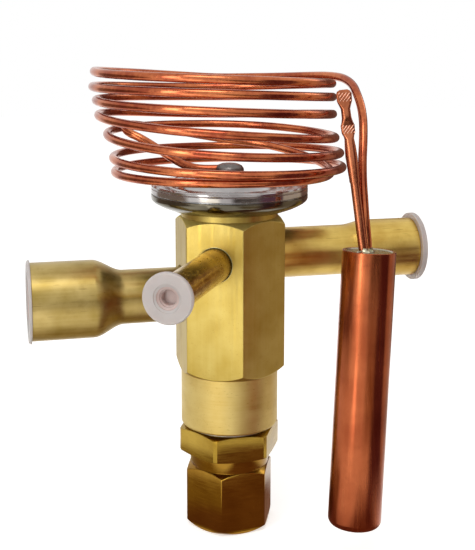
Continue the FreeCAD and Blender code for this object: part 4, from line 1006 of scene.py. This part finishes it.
def seen_directly(tree):
    """One for a ray from the camera, a mirror or glass, and nought for scattered light."""
    ray = add_node(tree, "ShaderNodeLightPath").outputs
    through = add_node(
        tree, "ShaderNodeMath", {"operation": "MAXIMUM"},
        {0: ray["Is Camera Ray"], 1: ray["Is Transmission Ray"]})
    return add_node(
        tree, "ShaderNodeMath", {"operation": "MAXIMUM"}, {0: through, 1: ray["Is Glossy Ray"]})


floor_share = add_node(
    floor_tree, "ShaderNodeMath", {"operation": "MULTIPLY", 1: SEEN_WHITE}, {0: seen_directly(floor_tree)})
floor_white = add_node(floor_tree, "ShaderNodeEmission", {"Color": WHITE}, {"Strength": floor_share})
floor_sum = add_node(
    floor_tree, "ShaderNodeAddShader", {}, {0: floor_tree.nodes["Principled BSDF"], 1: floor_white})
floor_tree.links.new(floor_sum.outputs[0], floor_tree.nodes["Material Output"].inputs["Surface"])
floor_mesh.materials.append(floor_paint)

world = bpy.data.worlds.new("studio")
bpy.context.scene.world = world
world.use_nodes = True
sky = world.node_tree
sky.nodes.clear()
sky_soft = add_node(sky, "ShaderNodeBackground", {"Color": WHITE, "Strength": WORLD_LIGHT})
sky_white = add_node(sky, "ShaderNodeBackground", {"Color": WHITE, "Strength": 1.0})
sky_mix = add_node(sky, "ShaderNodeMixShader", {}, {0: seen_directly(sky), 1: sky_soft, 2: sky_white})
add_node(sky, "ShaderNodeOutputWorld", {}, {"Surface": sky_mix})

for name, place, aim, width, height, power in (
        ("key_light", (-0.40, -0.33, 0.23), (0, 0, 0.12), 0.12, 0.44, 0.8),
        ("top_light", (-0.10, -0.25, 0.55), (0, 0, 0.08), 0.24, 0.24, 0.7),
        ("right_light", (0.50, 0.18, 0.28), (0, 0, 0.06), 0.10, 0.40, 0.25)):
    lamp = bpy.data.lights.new(name, "AREA")
    lamp.shape = "RECTANGLE"
    lamp.size = width
    lamp.size_y = height
    lamp.energy = power
    stand = added(name, lamp)
    stand.location = place
    stand.rotation_mode = "QUATERNION"
    stand.rotation_quaternion = (Vector(aim) - Vector(place)).to_track_quat("-Z", "Y")

# The cards curve up from the floor, and the mats and strips lie flat just over it. All fade
# at their edges, so that no reflection ends hard.
CARD_FADE = 4.0


def card(name, centre, bearing_deg, profile, colour, glow_strength=1.0):
    """A card seen only in reflections: a strip along a profile of (distance, height, width)."""
    bearing = math.radians(bearing_deg)
    out = Vector((math.cos(bearing), math.sin(bearing), 0))
    across = Vector((-out.y, out.x, 0)) / 2
    line = [(Vector((*centre, height)) + out * away, across * width) for away, height, width in profile]
    count = len(line)
    mesh = bpy.data.meshes.new(name)
    mesh.from_pydata(
        [place - aside for place, aside in line] + [place + aside for place, aside in line], [],
        [(step, step + 1, count + step + 1, count + step) for step in range(count - 1)])
    spread = mesh.uv_layers.new(name="spread")
    for loop in mesh.loops:
        beside, along = divmod(loop.vertex_index, count)
        spread.data[loop.index].uv = (beside, along / (count - 1))
    shape = added(name, mesh)
    for sight in ("camera", "diffuse", "shadow", "transmission"):
        setattr(shape, "visible_" + sight, False)
    paint, tree, surface = new_material(name)
    tree.nodes.clear()
    place_on = add_node(tree, "ShaderNodeUVMap", {"uv_map": "spread"})
    parts = add_node(tree, "ShaderNodeSeparateXYZ", {}, {"Vector": place_on}).outputs
    rises = []
    for part in (parts["X"], parts["Y"]):
        rest = add_node(tree, "ShaderNodeMath", {"operation": "SUBTRACT", 0: 1.0}, {1: part})
        both = add_node(tree, "ShaderNodeMath", {"operation": "MULTIPLY"}, {0: part, 1: rest})
        steep = {"operation": "MULTIPLY", 1: 2 * CARD_FADE, "use_clamp": True}
        rises.append(add_node(tree, "ShaderNodeMath", steep, {0: both}))
    solid = add_node(tree, "ShaderNodeMath", {"operation": "MULTIPLY"}, {0: rises[0], 1: rises[1]})
    clear = add_node(tree, "ShaderNodeBsdfTransparent")
    glow = add_node(tree, "ShaderNodeEmission", {"Color": linear(colour), "Strength": glow_strength})
    faded = add_node(tree, "ShaderNodeMixShader", {}, {0: solid, 1: clear, 2: glow})
    add_node(tree, "ShaderNodeOutputMaterial", {}, {"Surface": faded})
    mesh.materials.append(paint)


card("right_card", (0, 0), -7.0, (
    (0.05, 0.002, 0.06), (0.12, 0.004, 0.14), (0.20, 0.03, 0.24), (0.34, 0.16, 0.34),
    (0.40, 0.34, 0.38)), "#D2BEA8")
card("dusk_card", (0, 0), -40.0, (
    (0.05, 0.002, 0.05), (0.12, 0.004, 0.11), (0.20, 0.03, 0.18), (0.34, 0.16, 0.28),
    (0.40, 0.34, 0.30)), "#6E4A58")
card("side_card", (0, 0), 36.0, (
    (0.12, 0.004, 0.20), (0.22, 0.02, 0.36), (0.34, 0.14, 0.52), (0.42, 0.32, 0.52)), "#7A5A4C")
card("front_card", (0, 0), 284.0, (
    (0.29, 0.018, 0.32), (0.32, 0.035, 0.32), (0.34, 0.06, 0.32), (0.36, 0.12, 0.32)), "#5E544E")
card("left_card", (0, 0), 162.0, (
    (0.16, 0.002, 0.42), (0.24, 0.01, 0.42), (0.32, 0.08, 0.42), (0.36, 0.18, 0.42)), "#988678")
card("right_mat", (0.004, 0), 291.0, [
    (distance, 0.0012, 0.058) for distance in (-0.02, 0.02, 0.06, 0.095)], "#8C6450")
card("left_mat", (0, 0.012), 180.0, [
    (distance, 0.0008, 0.085) for distance in (-0.012, 0.01, 0.03, 0.06)], "#B09A68")
card("bulb_mat", (0.028, -0.030), 292.0, (
    (0.085, 0.0016, 0.12), (0.14, 0.0016, 0.20), (0.20, 0.0016, 0.28), (0.29, 0.0016, 0.36)), "#B8A484")
card("bulb_strip", (0.028, -0.030), 220.0, [
    (distance, 0.001, 0.045) for distance in (0.11, 0.18, 0.26, 0.36)], "#FFFFFF", 3.8)
card("rim_strip", (0, 0), 229.0, [
    (distance, 0.001, 0.32) for distance in (0.50, 0.58, 0.68, 0.80)], "#FFFCEC", 2.8)

# The camera stands a little to the left of the valve's front and looks down by 8 degrees.
CAMERA_AZIMUTH = -13.526
CAMERA_DISTANCE = 258.70
CAMERA_HEIGHT = 125.53
CAMERA_HEADING = -13.545
CAMERA_PITCH = 8.0
CAMERA_LENS = 67.257
CAMERA_SHIFT = (0.0141, -0.1629)
CAMERA_NEAREST = 0.01
lens = bpy.data.cameras.new("camera")
lens.lens = CAMERA_LENS
lens.shift_x, lens.shift_y = CAMERA_SHIFT
lens.clip_start = CAMERA_NEAREST
camera = added("camera", lens)
side = math.radians(CAMERA_AZIMUTH)
camera.location = Vector((
    CAMERA_DISTANCE * math.sin(side), -CAMERA_DISTANCE * math.cos(side), CAMERA_HEIGHT)) * MM
camera.rotation_euler = (math.radians(90 - CAMERA_PITCH), 0, math.radians(CAMERA_HEADING))
bpy.context.scene.camera = camera
bpy.context.scene.view_settings.view_transform = "Standard"
